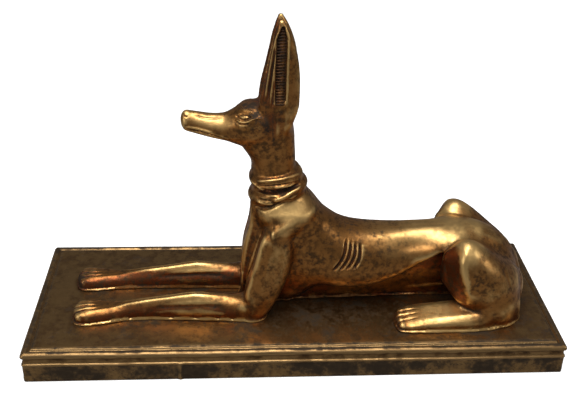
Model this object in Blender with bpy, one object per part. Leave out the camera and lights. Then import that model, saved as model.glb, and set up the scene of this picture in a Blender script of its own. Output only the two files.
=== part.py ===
"""Recumbent jackal with tall ears and a scarf, one casting bedded on a moulded plinth, a second casting.

X runs along the plinth with the head towards -X, Y across it and Z up. The origin is under the plinth's middle.
Sizes are in metres. The figure is drawn on a sculptor's grid, as shares of its own length.
"""

from math import cos, pi, radians, sin

import bmesh
import bpy
import numpy as np
from mathutils import Matrix, Vector

# The figure's length from paw tips to rump, and the margins of bare plinth left round it
FIGURE_LENGTH = 0.1805
PAW_MARGIN = 0.015
RUMP_MARGIN = 0.0104
SIDE_MARGIN = 0.0098

# The plinth's height, and the bands down its side: lip, groove and second lip over a plain face
PLINTH_HEIGHT = 0.013
LIP_HEIGHT = 0.002
LIP_OVERHANG = 0.0004
SIDE_GROOVE_HEIGHT = 0.002
SIDE_GROOVE_DEPTH = 0.0007
SECOND_LIP_HEIGHT = 0.0015
EDGE_ROUND = 0.0005
CORNER_RADIUS = 0.0012

# The groove on the plinth's top, inside the rim
RIM_WIDTH = 0.0026
TOP_GROOVE_WIDTH = 0.0013
TOP_GROOVE_DEPTH = 0.0008

# The bed of adhesive between the two castings
BEDDING = 0.0003

# The drawing grid: the squares that the figure covers, counted from the plinth's middle
PAW_TIP = -87.5
RUMP_END = 93.0
FOOT_SIDE = 26.9
SQUARE = FIGURE_LENGTH / (RUMP_END - PAW_TIP)

PLINTH_LENGTH = FIGURE_LENGTH + PAW_MARGIN + RUMP_MARGIN
PLINTH_WIDTH = 2 * (FOOT_SIDE * SQUARE + SIDE_MARGIN)
FIGURE_ORIGIN = Vector((PAW_MARGIN - PLINTH_LENGTH / 2 - PAW_TIP * SQUARE, 0, PLINTH_HEIGHT + BEDDING))

# How much further back the far haunch lies, in squares
FAR_HAUNCH_BACK = 2.0
FORELEGS_ASIDE = -2.3
MUZZLE_SLANT = 0.085
FOOT_SLANT = 0.04
FORELEG_SLANT = 0.55
FORELEG_PLACE = 10.7
NEAR_PAW_BACK = 1.7
THIGH_FRONT_SLANT = 0.5

# The figure's skin: its fineness in squares, how often it is rubbed smooth, and how many triangles carry it
SKIN_SQUARE = 0.6
RUBS = 4
SKIN_TRIANGLES = 8600

# Carving, as places on the grid in side view, x and z, the same on both sides of the figure
RIBS = 4
RIB_GROOVE = (0.65, 1.0)
EYE = [(-21.6, 80.7), (-19.9, 80.1), (-18.1, 80.5), (-16.8, 81.8), (-18.4, 82.4), (-20.2, 82), (-21.6, 80.7)]
LOWER_LID = [(-22.8, 79.2), (-20.2, 78.9), (-18, 79.6), (-16, 80.6)]
BROW = [(-23.8, 81), (-21.8, 82.8), (-19.5, 83.5), (-16.7, 83.6), (-13, 83)]
MOUTH = [(-41.2, 75.7), (-37.8, 75.5), (-34.2, 74.8), (-29.9, 73.9), (-24.2, 72.8)]
THIGH_RIDGE = [(64.6, 32), (62.9, 29.5), (62.6, 26), (64, 22), (67, 18)]
THIGH_RISE = (1.9, -0.8)
FACE_GROOVES = ((EYE, 0.45, 0.5), (LOWER_LID, 0.4, 0.3), (BROW, 0.5, 0.3), (MOUTH, 0.5, 0.7))
TOE_PITCH = 3.1
TOE_GROOVE = (0.65, 0.9)
EAR_PANEL_FOOT = 86.5
EAR_PANEL_TOP = 113.6
EAR_PANEL_DEPTH = 1.3


def smooth_through(stations, steps):
    """Rows of values read at equal steps from a smooth curve through the rows of stations."""
    rows = np.array(stations, float)
    before = np.vstack([2 * rows[0] - rows[1], rows[:-1]])
    after = np.vstack([rows[1:], 2 * rows[-1] - rows[-2]])
    slope = (after - before) / 2
    out = []
    for i in range(len(rows) - 1):
        for t in np.arange(steps) / steps:
            h = (2 * t**3 - 3 * t**2 + 1, t**3 - 2 * t**2 + t, 3 * t**2 - 2 * t**3, t**3 - t**2)
            out.append(h[0] * rows[i] + h[1] * slope[i] + h[2] * rows[i + 1] + h[3] * slope[i + 1])
    return np.array(out + [rows[-1]])


def skin(bm, rings, closed=False):
    """Bridges a row of rings, each a list of points, into one closed shell."""
    loops = [[bm.verts.new(point) for point in ring] for ring in rings]
    pairs = list(zip(loops, loops[1:]))
    if closed:
        pairs.append((loops[-1], loops[0]))
    for low, high in pairs:
        for k in range(len(low)):
            bm.faces.new((low[k - 1], low[k], high[k], high[k - 1]))
    if not closed:
        bm.faces.new(reversed(loops[0]))
        bm.faces.new(loops[-1])


def loft(bm, stations, ends=(1.5, 1.5), sides=28, steps=5, upright=False):
    """A limb through oval rings, which stand across X, or lie level on an upright limb.

    A station is the ring's middle x, y, z, its half width across Y, its reach towards the back of the animal,
    its reach the other way, and its squareness: 2 is an oval, and more is squarer. The back is up on a limb
    that lies along X, and towards +X on an upright one."""
    rows = smooth_through(stations, steps)
    heading = rows[-1, :3] - rows[0, :3]
    heading /= np.linalg.norm(heading)
    back = np.array([1.0, 0, 0]) if upright else np.array([0, 0, 1.0])
    across = np.array([0, 1.0, 0])
    rings = [(rows[0], -ends[0], k) for k in (3, 2, 1)] + [(row, 0, 0) for row in rows]
    rings += [(rows[-1], ends[1], k) for k in (1, 2, 3)]
    loops = []
    for row, reach, k in rings:
        turn = k * pi / 7
        width, rise, drop, squareness = row[3:]
        loop = []
        for j in range(sides):
            c, s = cos(2 * pi * j / sides), sin(2 * pi * j / sides)
            side = width * np.sign(c) * abs(c) ** (2 / squareness)
            lift = (rise if s > 0 else drop) * np.sign(s) * abs(s) ** (2 / squareness)
            loop.append(row[:3] + heading * reach * sin(turn) + (across * side + back * lift) * cos(turn))
        loops.append(loop)
    skin(bm, loops)


def both_sides(bm, stations, far_back=0, aside=0, **options):
    """The same limb on the near and the far side; the far one may lie further back, and the pair to one side."""
    loft(bm, [(x, y + aside, *rest) for x, y, *rest in stations], **options)
    loft(bm, [(x + far_back, aside - y, *rest) for x, y, *rest in stations], **options)


def roll(bm, centre, reach, tilt, thickness, turns=40, sides=12):
    """A roll of cloth laid round the neck: an oval hoop whose front hangs lower by the tilt."""
    rings = []
    for k in range(turns):
        a = 2 * pi * k / turns
        out = np.array([cos(a), sin(a), 0.0])
        middle = np.array(centre) + np.array([reach[0] * cos(a), reach[1] * sin(a), tilt * cos(a)])
        ring = []
        for j in range(sides):
            b = 2 * pi * j / sides
            ring.append(middle + out * thickness[0] * cos(b) + np.array([0, 0, thickness[1] * sin(b)]))
        rings.append(ring)
    skin(bm, rings, closed=True)


def body(bm):
    """Trunk from rump to loins and ribs, the breast between the forelegs, and the web under the belly."""
    loft(bm, [
        (89.5, 0, 10, 8, 7, 14, 2.1),
        (86, 0, 12, 10, 11, 16, 2.1),
        (80, 0, 15, 10.4, 14.6, 20, 2.2),
        (72, 0, 20, 11, 13, 18, 2.2),
        (64, 0, 30, 10.2, 3.3, 3.2, 1.8),
        (56, 0, 25.6, 10.9, 7.3, 2.4, 1.7),
        (48, 0, 21.3, 11.4, 11.3, 3.6, 1.8),
        (38, 0, 17, 12.5, 15.1, 6.2, 2.0),
        (28, 0, 15.6, 13.6, 16.7, 7.6, 2.2),
        (18, 0, 16, 13.9, 19, 8.5, 2.2),
        (9, 0, 18, 13, 23.5, 11, 2.15),
        (0, 0, 20, 11.2, 22, 21, 2.1),
        (-9, 0, 20, 8.5, 16, 24, 2.1),
    ], ends=(3, 2.5))
    loft(bm, [
        (-12, 0, -4, 6.4, 8, 9.4, 2),
        (-12, 0, 10, 7, 8, 9, 2),
        (-11, 0, 22, 7.4, 8, 9.6, 2),
        (-9, 0, 33, 7.6, 8, 9, 2),
        (-7.4, 0, 44, 7.4, 8, 9, 2),
    ], upright=True)
    loft(bm, [
        (66, 0, 4, 2.6, 22, 8, 2),
        (46, 0, 4, 2.6, 18, 8, 2),
        (28, 0, 4, 3.4, 9, 8, 2),
        (-10, 0, 4, 5, 8, 8, 2),
    ])


def neck(bm):
    loft(bm, [
        (-1, 0, 24, 11.4, 14, 13, 2.1),
        (-1.5, 0, 33, 12, 16, 13, 2.1),
        (-3.4, 0, 41, 13.2, 13.6, 12.6, 2.4),
        (-4.7, 0, 45, 11, 12, 11.6, 2.4),
        (-6, 0, 49, 8.7, 10.4, 10.6, 2.2),
        (-8, 0, 56, 7.5, 8, 9, 2.1),
        (-8.8, 0, 62, 7.3, 8.4, 8.4, 2.1),
        (-9.4, 0, 68, 7.5, 8.8, 11.4, 2.1),
        (-9.8, 0, 74, 7.6, 9, 13, 2.1),
    ], upright=True)


def head(bm):
    loft(bm, [
        (-4, 0, 78, 6.6, 5.5, 8, 2.2),
        (-9, 0, 78, 8.4, 7, 9.5, 2.2),
        (-14.5, 0, 77.6, 8.7, 7.2, 10, 2.2),
        (-19, 0, 77, 7.9, 7, 9.8, 2.2),
        (-22.6, 0, 76.2, 6.4, 5.8, 7.8, 2.2),
        (-26.4, 0, 75.6, 5.2, 4.5, 5.6, 2.3),
        (-31, 0, 75.6, 4.5, 4.2, 4.5, 2.4),
        (-36, 0, 76.5, 3.9, 4, 4.1, 2.4),
        (-40.2, 0, 77.6, 3.5, 3.6, 4, 2.4),
    ], ends=(2.5, 2.2))


def ears(bm):
    both_sides(bm, [
        (-7.2, -5.4, 76, 3, 5, 5, 2.1),
        (-7.2, -5.1, 83, 3.3, 7, 7, 2.1),
        (-6.8, -4.6, 90, 3.1, 7, 6.9, 2.1),
        (-6.2, -4.2, 97, 2.9, 6.2, 6, 2.1),
        (-5.9, -3.9, 104, 2.6, 4.9, 4.8, 2.1),
        (-6.1, -3.7, 109, 2.2, 3.6, 3.6, 2.1),
        (-6.4, -3.6, 112.8, 1.6, 2.2, 2.2, 2.1),
        (-6.7, -3.6, 115, 1, 1.1, 1.1, 2),
    ], ends=(1, 1), upright=True)


def forelegs(bm):
    both_sides(bm, [
        (-14, -10.9, 4.5, 5.6, 4.4, 9, 2.3),
        (-22, -10.9, 4.5, 5.4, 3.6, 9, 2.3),
        (-28, -10.7, 4.6, 5, 4.1, 9, 2.3),
        (-37, -10.6, 5, 4.7, 4.6, 9, 2.2),
        (-42, -10.5, 4.9, 4.5, 4.4, 9, 2.2),
        (-50, -10.4, 4.2, 4.1, 3.8, 8, 2.2),
        (-58, -10.4, 3.6, 3.9, 3.3, 8, 2.2),
        (-65, -10.5, 3, 3.9, 2.7, 8, 2.3),
        (-71, -10.8, 2.8, 4.6, 2, 7, 2.5),
        (-77, -11.1, 2.6, 5.6, 2.2, 7, 2.8),
        (-81.5, -11.2, 2.5, 6.2, 2.4, 7, 2.8),
        (-84.5, -11.2, 2.3, 5.9, 2.1, 6, 2.7),
    ], ends=(3, 3.1), aside=FORELEGS_ASIDE)


def shoulders(bm):
    """Upper arm from the elbow to the point of the shoulder, and the blade that slopes up and back from there."""
    both_sides(bm, [
        (-17.6, -11.6, -4, 6, 3.4, 4.6, 2.5),
        (-15.6, -11.8, 4, 6.1, 6.8, 5.2, 2.6),
        (-12.8, -11.8, 12, 5.9, 7.8, 6.2, 2.7),
        (-10.2, -11.5, 20, 5.5, 8, 6.6, 2.7),
        (-8.4, -10.9, 28, 5, 7.2, 6.4, 2.6),
        (-7.2, -9.9, 34, 4.6, 5.6, 5.8, 2.4),
        (-6.6, -8.4, 39, 3.8, 3.4, 4, 2.2),
    ], upright=True, aside=FORELEGS_ASIDE / 2)
    both_sides(bm, [
        (9, -3.2, 37.6, 3.6, 2.6, 2.2, 2.2),
        (5.6, -5.6, 38.6, 4.6, 3.6, 3.2, 2.2),
        (1.2, -8.2, 39, 5, 4.4, 4, 2.2),
        (-4, -10, 37.4, 5.2, 5, 4.4, 2.2),
        (-8.6, -10.8, 34.8, 4.6, 4.6, 4.6, 2.2),
    ], ends=(1.5, 2))


def haunches(bm):
    """Folded thigh, and the hock that joins it to the heel."""
    both_sides(bm, [
        (89.5, -7.5, 9, 6, 6.6, 12, 2.1),
        (86, -10, 9.5, 9.4, 10.4, 14, 2.1),
        (80.5, -12.6, 11, 11, 13.2, 14, 2.1),
        (75, -14.2, 13, 10.8, 15.8, 14, 2.05),
        (70, -15, 15, 10, 17.6, 13.4, 2),
        (65.5, -15.6, 17, 9, 17.4, 11.6, 2),
        (62, -15.8, 18.4, 8.3, 14.8, 9.6, 2.1),
        (58, -15, 20, 4.8, 9.4, 7, 2.1),
    ], ends=(3, 2), far_back=FAR_HAUNCH_BACK)
    both_sides(bm, [
        (87.2, -13.6, 4, 7.8, 8, 8, 2.2),
        (82, -16.4, 5, 8.8, 10, 9, 2.2),
        (75, -17.6, 5, 8.2, 8, 9, 2.2),
        (70, -17.4, 5, 6.6, 6, 8, 2.2),
    ], ends=(2.4, 2), far_back=FAR_HAUNCH_BACK / 2)


def hind_feet(bm):
    both_sides(bm, [
        (84, -15, 2.5, 7, 4, 6, 2.4),
        (78, -18.8, 2.6, 6.6, 4.6, 6, 2.6),
        (70, -20.4, 2.4, 6.2, 4.8, 6, 3.2),
        (62, -20.7, 2.2, 6.1, 4.2, 6, 3.6),
        (52, -20.7, 1.7, 6.1, 3.5, 6, 3.6),
        (45, -20.6, 1.3, 6.2, 2.8, 5, 3.2),
        (42.4, -20.5, 1.2, 6, 2.2, 4, 2.8),
    ], ends=(2, 3.4))


def tail(bm):
    loft(bm, [
        (89.6, 0, -3, 2.3, 3.2, 6, 2),
        (89.2, 0, 8, 2.6, 3.4, 6, 2),
        (87, 0, 17, 2.8, 3.6, 6, 2),
        (82, 0, 26, 3, 3.4, 6, 2),
        (78, 0, 29, 2.4, 2.6, 6, 2),
    ], upright=True)


def scarf(bm):
    """Two rolls of cloth round the neck, and the two ends that hang down the breast."""
    roll(bm, (-7.6, 0, 54.9), (7.8, 7.4), 0.6, (2.5, 2.8))
    roll(bm, (-6.8, 0, 49.6), (8.8, 8.3), 2.6, (2.6, 2.4))
    both_sides(bm, [
        (-14, -4, 47, 2.1, 3, 3.2, 2.4),
        (-15.9, -3.9, 36, 2.1, 2, 1.8, 2.4),
        (-18.6, -3.5, 24, 2.1, 2, 1.6, 2.4),
        (-19.6, -3.2, 8, 2, 2, 1.4, 2.4),
    ], ends=(1, 1), sides=12, upright=True)


def mesh_object(name, bm):
    mesh = bpy.data.meshes.new(name)
    bm.to_mesh(mesh)
    bm.free()
    made = bpy.data.objects.new(name, mesh)
    bpy.context.scene.collection.objects.link(made)
    return made


def settle(made):
    """Replaces the object's mesh by what its modifiers make of it."""
    graph = bpy.context.evaluated_depsgraph_get()
    mesh = bpy.data.meshes.new_from_object(made.evaluated_get(graph))
    made.modifiers.clear()
    made.data = mesh


def groove(flat, path, width, depth):
    """How far points sink for a groove of that half width along the path; flat holds them as its view sees them."""
    nearest = np.full(len(flat), np.inf)
    for a, b in zip(np.array(path[:-1]), np.array(path[1:])):
        share = np.clip((flat - a) @ (b - a) / ((b - a) @ (b - a)), 0, 1)
        nearest = np.minimum(nearest, np.linalg.norm(flat - a - share[:, None] * (b - a), axis=1))
    return depth * np.exp(-((nearest / width) ** 2))


def carved(points, normals):
    """The points after ribs, face and toes are cut: each sinks along its normal."""
    x, y, z = points.T
    side_view = points[:, [0, 2]]
    paw_view = np.stack([x, np.abs(y - FORELEGS_ASIDE)], axis=1)
    hind_view = np.stack([x, np.abs(y)], axis=1)
    facing_side = np.abs(normals[:, 1]) > 0.3
    facing_up = normals[:, 2] > -0.2
    sunk = np.zeros(len(points))
    for k in range(RIBS):
        rib = [(20.2 + 2.1 * k, 30.3 - 1.5 * k), (18.8 + 2.35 * k, 26 - 0.95 * k), (14.9 + 2.8 * k, 20 - 0.1 * k)]
        sunk += facing_side * (z > 15) * groove(side_view, rib, *RIB_GROOVE)
    near_outside = np.clip((np.abs(y) - 12) / 4, 0, 1) * np.clip((np.abs(normals[:, 1]) - 0.15) / 0.4, 0, 1)
    haunch_view = side_view - np.outer(y > 0, (FAR_HAUNCH_BACK, 0))
    sunk += near_outside * groove(haunch_view, THIGH_RIDGE, *THIGH_RISE)
    for line, width, depth in FACE_GROOVES:
        sunk += facing_side * (x < -11) * groove(side_view, line, width, depth)
    for toe in (-TOE_PITCH, 0, TOE_PITCH):
        sunk += facing_up * groove(paw_view, [(-90, 11.2 + toe), (-79.5, 11.2 + 0.7 * toe)], *TOE_GROOVE)
        sunk += facing_up * groove(hind_view, [(36, 20.5 + toe), (44.5, 20.6 + 0.8 * toe)], *TOE_GROOVE)
    return points - normals * sunk[:, None]


def slanted(points):
    """Muzzle and forelegs are made narrow on top, the hind feet lower outside, the thighs cut back in front."""
    x, y, z = points.T
    leg_top = np.interp(x, [-85, -76, -65, -58, -50, -42, -37, -28], [4.6, 4.8, 5.7, 6.9, 8, 9.3, 9.6, 8.7])
    on_leg = np.clip((-19 - x) / 6, 0, 1) * np.interp(x, [-84, -70], [0.4, 1]) * (z < 14)
    aside = y - FORELEGS_ASIDE
    from_leg = (np.abs(aside) - FORELEG_PLACE) * (1 - FORELEG_SLANT * on_leg * np.clip(z / leg_top, 0, 1) ** 2)
    y = np.sign(aside) * (FORELEG_PLACE + from_leg) + FORELEGS_ASIDE
    x = x + NEAR_PAW_BACK * np.clip((-60 - x) / 24, 0, 1) * (aside < 0) * (z < 14)
    thigh_edge = np.interp(z, [14, 18, 24, 28, 32, 36], [66, 64.6, 63, 62.4, 63.6, 66]) + FAR_HAUNCH_BACK * (y > 0)
    on_thigh = (x > 56) * np.clip((np.abs(y) - 14) / 3, 0, 1) * np.clip((z - 8) / 4, 0, 1)
    y = y - np.sign(y) * THIGH_FRONT_SLANT * np.clip(thigh_edge - x, 0, 6) * on_thigh
    on_foot = np.clip((x - 38) / 6, 0, 1) * np.clip((76 - x) / 8, 0, 1) * (z < 8) * (np.abs(y) > 12)
    z = z * (1 + FOOT_SLANT * on_foot * (20 - np.abs(y)))
    middle = np.interp(x, [-40, -30, -20], [77.2, 75.4, 75.8])
    lean = MUZZLE_SLANT * np.clip((-21 - x) / 6, 0, 1) * np.clip(z - middle, -3, 5)
    return np.stack([x, y * (1 - lean * (z > 60)), z], axis=1)


def hollowed(points):
    """The points after a pointed panel is sunk in the outer face of each ear."""
    x, y, z = points.T
    share = np.clip((z - EAR_PANEL_FOOT) / (EAR_PANEL_TOP - EAR_PANEL_FOOT), 0, 1)
    half = np.interp(share, [0, 0.12, 0.6, 1], [0.6, 2.5, 2.1, 0.4])
    middle = np.interp(share, [0, 0.6, 1], [-6.9, -6.7, -6.5])
    inside = np.clip((half - np.abs(x - middle)) / 0.8, 0, 1)
    inside = inside * inside * (3 - 2 * inside)
    outer = (z > EAR_PANEL_FOOT) & (np.abs(y) > 3.9)
    return np.stack([x, y - np.sign(y) * outer * inside * EAR_PANEL_DEPTH, z], axis=1)


def cut_flat(mesh):
    """Cuts the skin level with the plinth's top, and closes the cut."""
    bm = bmesh.new()
    bm.from_mesh(mesh)
    everything = bm.verts[:] + bm.edges[:] + bm.faces[:]
    bmesh.ops.bisect_plane(bm, geom=everything, dist=1e-4, plane_co=(0, 0, 0), plane_no=(0, 0, -1), clear_outer=True)
    bmesh.ops.holes_fill(bm, edges=[edge for edge in bm.edges if edge.is_boundary], sides=0)
    bmesh.ops.triangulate(bm, faces=bm.faces)
    bm.to_mesh(mesh)
    bm.free()


def vertex_rows(mesh, what):
    rows = np.empty(len(mesh.vertices) * 3, np.float32)
    mesh.vertices.foreach_get(what, rows)
    return rows.reshape(-1, 3).astype(float)


def make_jackal():
    """Blocks the limbs out as lofts, draws one skin over them, rubs it smooth, cuts it flat below and carves it."""
    bm = bmesh.new()
    for limb in (body, neck, head, ears, forelegs, shoulders, haunches, hind_feet, tail, scarf):
        limb(bm)
    bmesh.ops.recalc_face_normals(bm, faces=bm.faces)
    jackal = mesh_object("jackal", bm)
    one_skin = jackal.modifiers.new("one skin", "REMESH")
    one_skin.mode = "VOXEL"
    one_skin.voxel_size = SKIN_SQUARE
    rubbed = jackal.modifiers.new("rubbed", "SMOOTH")
    rubbed.factor = 0.5
    rubbed.iterations = RUBS
    settle(jackal)
    cut_flat(jackal.data)
    points = vertex_rows(jackal.data, "co")
    above_cut = points[:, 2] > 1e-3
    shaped = hollowed(slanted(carved(points, vertex_rows(jackal.data, "normal"))))
    points[above_cut] = shaped[above_cut]
    jackal.data.vertices.foreach_set("co", points.ravel().astype(np.float32))
    jackal.data.update()
    facets = jackal.modifiers.new("facets", "DECIMATE")
    facets.ratio = SKIN_TRIANGLES / len(jackal.data.polygons)
    settle(jackal)
    jackal.data.transform(Matrix.Scale(SQUARE, 4))
    jackal.location = FIGURE_ORIGIN
    return jackal


def rounded_rectangle(length, width, radius, z, parts=4):
    """Points round a rectangle with round corners, at one height."""
    points = []
    for quarter, (sx, sy) in enumerate(((1, 1), (-1, 1), (-1, -1), (1, -1))):
        for k in range(parts + 1):
            a = (quarter + k / parts) * pi / 2
            x = sx * (length / 2 - radius) + radius * cos(a)
            y = sy * (width / 2 - radius) + radius * sin(a)
            points.append((x, y, z))
    return points


def make_plinth():
    """A stack of rounded rectangles, each a place on the slab's profile: how far inside the lip, and its height."""
    under_lip = PLINTH_HEIGHT - LIP_HEIGHT
    under_groove = under_lip - SIDE_GROOVE_HEIGHT
    under_second = under_groove - SECOND_LIP_HEIGHT
    second_lip = LIP_OVERHANG / 2
    groove_floor = PLINTH_HEIGHT - TOP_GROOVE_DEPTH
    half_round = EDGE_ROUND / 2
    profile = [
        (LIP_OVERHANG + EDGE_ROUND, 0),
        (LIP_OVERHANG, EDGE_ROUND),
        (LIP_OVERHANG, under_second - half_round),
        (second_lip, under_second),
        (second_lip, under_groove - half_round),
        (SIDE_GROOVE_DEPTH, under_groove),
        (SIDE_GROOVE_DEPTH, under_lip),
        (0, under_lip + half_round),
        (0, PLINTH_HEIGHT - EDGE_ROUND),
        (EDGE_ROUND, PLINTH_HEIGHT),
        (RIM_WIDTH, PLINTH_HEIGHT),
        (RIM_WIDTH + half_round, groove_floor),
        (RIM_WIDTH + TOP_GROOVE_WIDTH - half_round, groove_floor),
        (RIM_WIDTH + TOP_GROOVE_WIDTH, PLINTH_HEIGHT),
    ]
    loops = []
    for inside, z in profile:
        radius = max(CORNER_RADIUS - inside, CORNER_RADIUS / 4)
        loops.append(rounded_rectangle(PLINTH_LENGTH - 2 * inside, PLINTH_WIDTH - 2 * inside, radius, z))
    bm = bmesh.new()
    skin(bm, loops)
    bmesh.ops.recalc_face_normals(bm, faces=bm.faces)
    return mesh_object("plinth", bm)


def finish(made, colour, roughness, metallic):
    """Gives the piece its own material and smooth shading between sharp edges."""
    material = bpy.data.materials.new(made.name)
    material.use_nodes = True
    shader = material.node_tree.nodes["Principled BSDF"]
    shader.inputs["Base Color"].default_value = (*colour, 1)
    shader.inputs["Roughness"].default_value = roughness
    shader.inputs["Metallic"].default_value = metallic
    made.data.materials.clear()
    made.data.materials.append(material)
    made.data.shade_smooth()
    made.data.set_sharp_from_angle(angle=radians(40))


for old in list(bpy.data.objects):
    bpy.data.objects.remove(old)
finish(make_jackal(), (0.42, 0.25, 0.10), 0.35, 0.9)
finish(make_plinth(), (0.20, 0.13, 0.06), 0.5, 0.8)
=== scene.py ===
# %% [markdown]
# # A lying jackal on its plinth
#
# The object is a shelf figure about 21 cm long: a long-eared jackal with a scarf round its neck, lying on a
# rimmed slab. It is cast in dark resin, painted bronze and gold, and rubbed, so that the raised parts shine
# and a black-brown patina stays in the hollows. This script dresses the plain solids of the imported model:
# it models both castings again with all their relief, paints them, and sets up light and camera.
#
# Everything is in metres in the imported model's own frame. The animal is first drawn on a side-view grid
# whose squares are a millimetre, with x running from the paws to the rump, y across and z up from the slab.

from math import cos, pi, radians, sin

import bmesh
import bpy
import numpy as np
from mathutils import Matrix, Quaternion, Vector
from mathutils.bvhtree import BVHTree


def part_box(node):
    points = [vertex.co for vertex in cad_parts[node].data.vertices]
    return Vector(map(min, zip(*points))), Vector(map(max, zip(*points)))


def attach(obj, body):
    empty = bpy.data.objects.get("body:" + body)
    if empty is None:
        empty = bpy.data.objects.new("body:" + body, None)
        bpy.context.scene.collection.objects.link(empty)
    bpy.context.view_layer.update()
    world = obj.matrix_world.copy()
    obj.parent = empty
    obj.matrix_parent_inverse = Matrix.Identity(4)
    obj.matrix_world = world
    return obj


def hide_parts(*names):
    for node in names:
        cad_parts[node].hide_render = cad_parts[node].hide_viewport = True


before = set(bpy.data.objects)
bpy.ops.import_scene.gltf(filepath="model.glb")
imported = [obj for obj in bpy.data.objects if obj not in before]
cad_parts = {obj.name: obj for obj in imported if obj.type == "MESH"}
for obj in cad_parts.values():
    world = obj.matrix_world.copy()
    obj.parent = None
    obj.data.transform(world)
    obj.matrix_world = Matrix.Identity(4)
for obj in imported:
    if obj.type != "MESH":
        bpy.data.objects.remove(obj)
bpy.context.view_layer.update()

SQUARE = 0.001
FIGURE_PLACE = (-0.00045, 0, 0.0133)

# %% [markdown]
# ## Camera
#
# The view was worked out from the corners of the slab: the photographer stood a little to the left and
# looked down at about 30 degrees. A camera that is turned by a quaternion needs no helper object: one
# rotation aims it, and a second one about the line of sight gives the slight tilt of the picture.

# %% Camera
VIEW_TARGET = Vector((-0.00223, 0, 0.05685))
VIEW_DISTANCE = 0.32255
VIEW_YAW = radians(-3.98)
VIEW_PITCH = radians(30.24)
VIEW_TILT = radians(1.67)
LENS_MM = 52.14

camera = bpy.data.objects.new("camera", bpy.data.cameras.new("camera"))
bpy.context.scene.collection.objects.link(camera)
towards_camera = Vector((sin(VIEW_YAW) * cos(VIEW_PITCH), -cos(VIEW_YAW) * cos(VIEW_PITCH), sin(VIEW_PITCH)))
camera.location = VIEW_TARGET + towards_camera * VIEW_DISTANCE
camera.rotation_mode = "QUATERNION"
aim = (-towards_camera).to_track_quat("-Z", "Y")
camera.rotation_quaternion = Quaternion(towards_camera, VIEW_TILT) @ aim
camera.data.sensor_width = 36
camera.data.lens = LENS_MM
camera.data.clip_start = 0.01
bpy.context.scene.camera = camera

# %% [markdown]
# ## Blocking out with lofts
#
# A carver starts with blocks and rounds them. Here each limb is a loft: a few oval stations, a smooth curve
# through them, and a skin bridged from ring to ring. A station is written as one row of numbers, which is
# easy to compare with the real outline: middle x, y, z, half width, reach to the back of the animal, reach
# the other way, and squareness, where 2 is an oval and more is squarer.


# %% Smooth rows and bridged rings
def smooth_through(stations, steps):
    """Rows of values read at equal steps from a smooth curve through the rows of stations."""
    rows = np.array(stations, float)
    before = np.vstack([2 * rows[0] - rows[1], rows[:-1]])
    after = np.vstack([rows[1:], 2 * rows[-1] - rows[-2]])
    slope = (after - before) / 2
    out = []
    for i in range(len(rows) - 1):
        for t in np.arange(steps) / steps:
            h = (2 * t**3 - 3 * t**2 + 1, t**3 - 2 * t**2 + t, 3 * t**2 - 2 * t**3, t**3 - t**2)
            out.append(h[0] * rows[i] + h[1] * slope[i] + h[2] * rows[i + 1] + h[3] * slope[i + 1])
    return np.array(out + [rows[-1]])


def skin(bm, rings, closed=False):
    """Bridges a row of rings, each a list of points, into one closed shell."""
    loops = [[bm.verts.new(point) for point in ring] for ring in rings]
    pairs = list(zip(loops, loops[1:]))
    if closed:
        pairs.append((loops[-1], loops[0]))
    for low, high in pairs:
        for k in range(len(low)):
            bm.faces.new((low[k - 1], low[k], high[k], high[k - 1]))
    if not closed:
        bm.faces.new(reversed(loops[0]))
        bm.faces.new(loops[-1])


# %% A limb
CAP_PARTS = 7


def loft(bm, stations, ends=(1.5, 1.5), sides=56, steps=8, upright=False):
    """A limb through oval rings across X, or level ones where it is upright; its ends are rounded."""
    rows = smooth_through(stations, steps)
    heading = rows[-1, :3] - rows[0, :3]
    heading /= np.linalg.norm(heading)
    back = np.array([1.0, 0, 0]) if upright else np.array([0, 0, 1.0])
    across = np.array([0, 1.0, 0])
    rings = [(rows[0], -ends[0], k) for k in (3, 2, 1)] + [(row, 0, 0) for row in rows]
    rings += [(rows[-1], ends[1], k) for k in (1, 2, 3)]
    loops = []
    for row, reach, k in rings:
        turn = k * pi / CAP_PARTS
        width, rise, drop, squareness = row[3:]
        loop = []
        for j in range(sides):
            c, s = cos(2 * pi * j / sides), sin(2 * pi * j / sides)
            side = width * np.sign(c) * abs(c) ** (2 / squareness)
            lift = (rise if s > 0 else drop) * np.sign(s) * abs(s) ** (2 / squareness)
            loop.append(row[:3] + heading * reach * sin(turn) + (across * side + back * lift) * cos(turn))
        loops.append(loop)
    skin(bm, loops)


def both_sides(bm, stations, far_back=0, aside=0, **options):
    """The same limb on both sides; the far one may lie further back, and the pair to one side."""
    loft(bm, [(x, y + aside, *rest) for x, y, *rest in stations], **options)
    loft(bm, [(x + far_back, aside - y, *rest) for x, y, *rest in stations], **options)


# %% [markdown]
# ## Trunk, neck and head
#
# The trunk is deep at the chest, shallow and roof-shaped at the loins, and deep again at the rump. A thin
# web closes the space under the belly, as on a casting that has to leave a two-part mould. The neck stands
# straight up, and the muzzle is a long squared bar.

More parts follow.
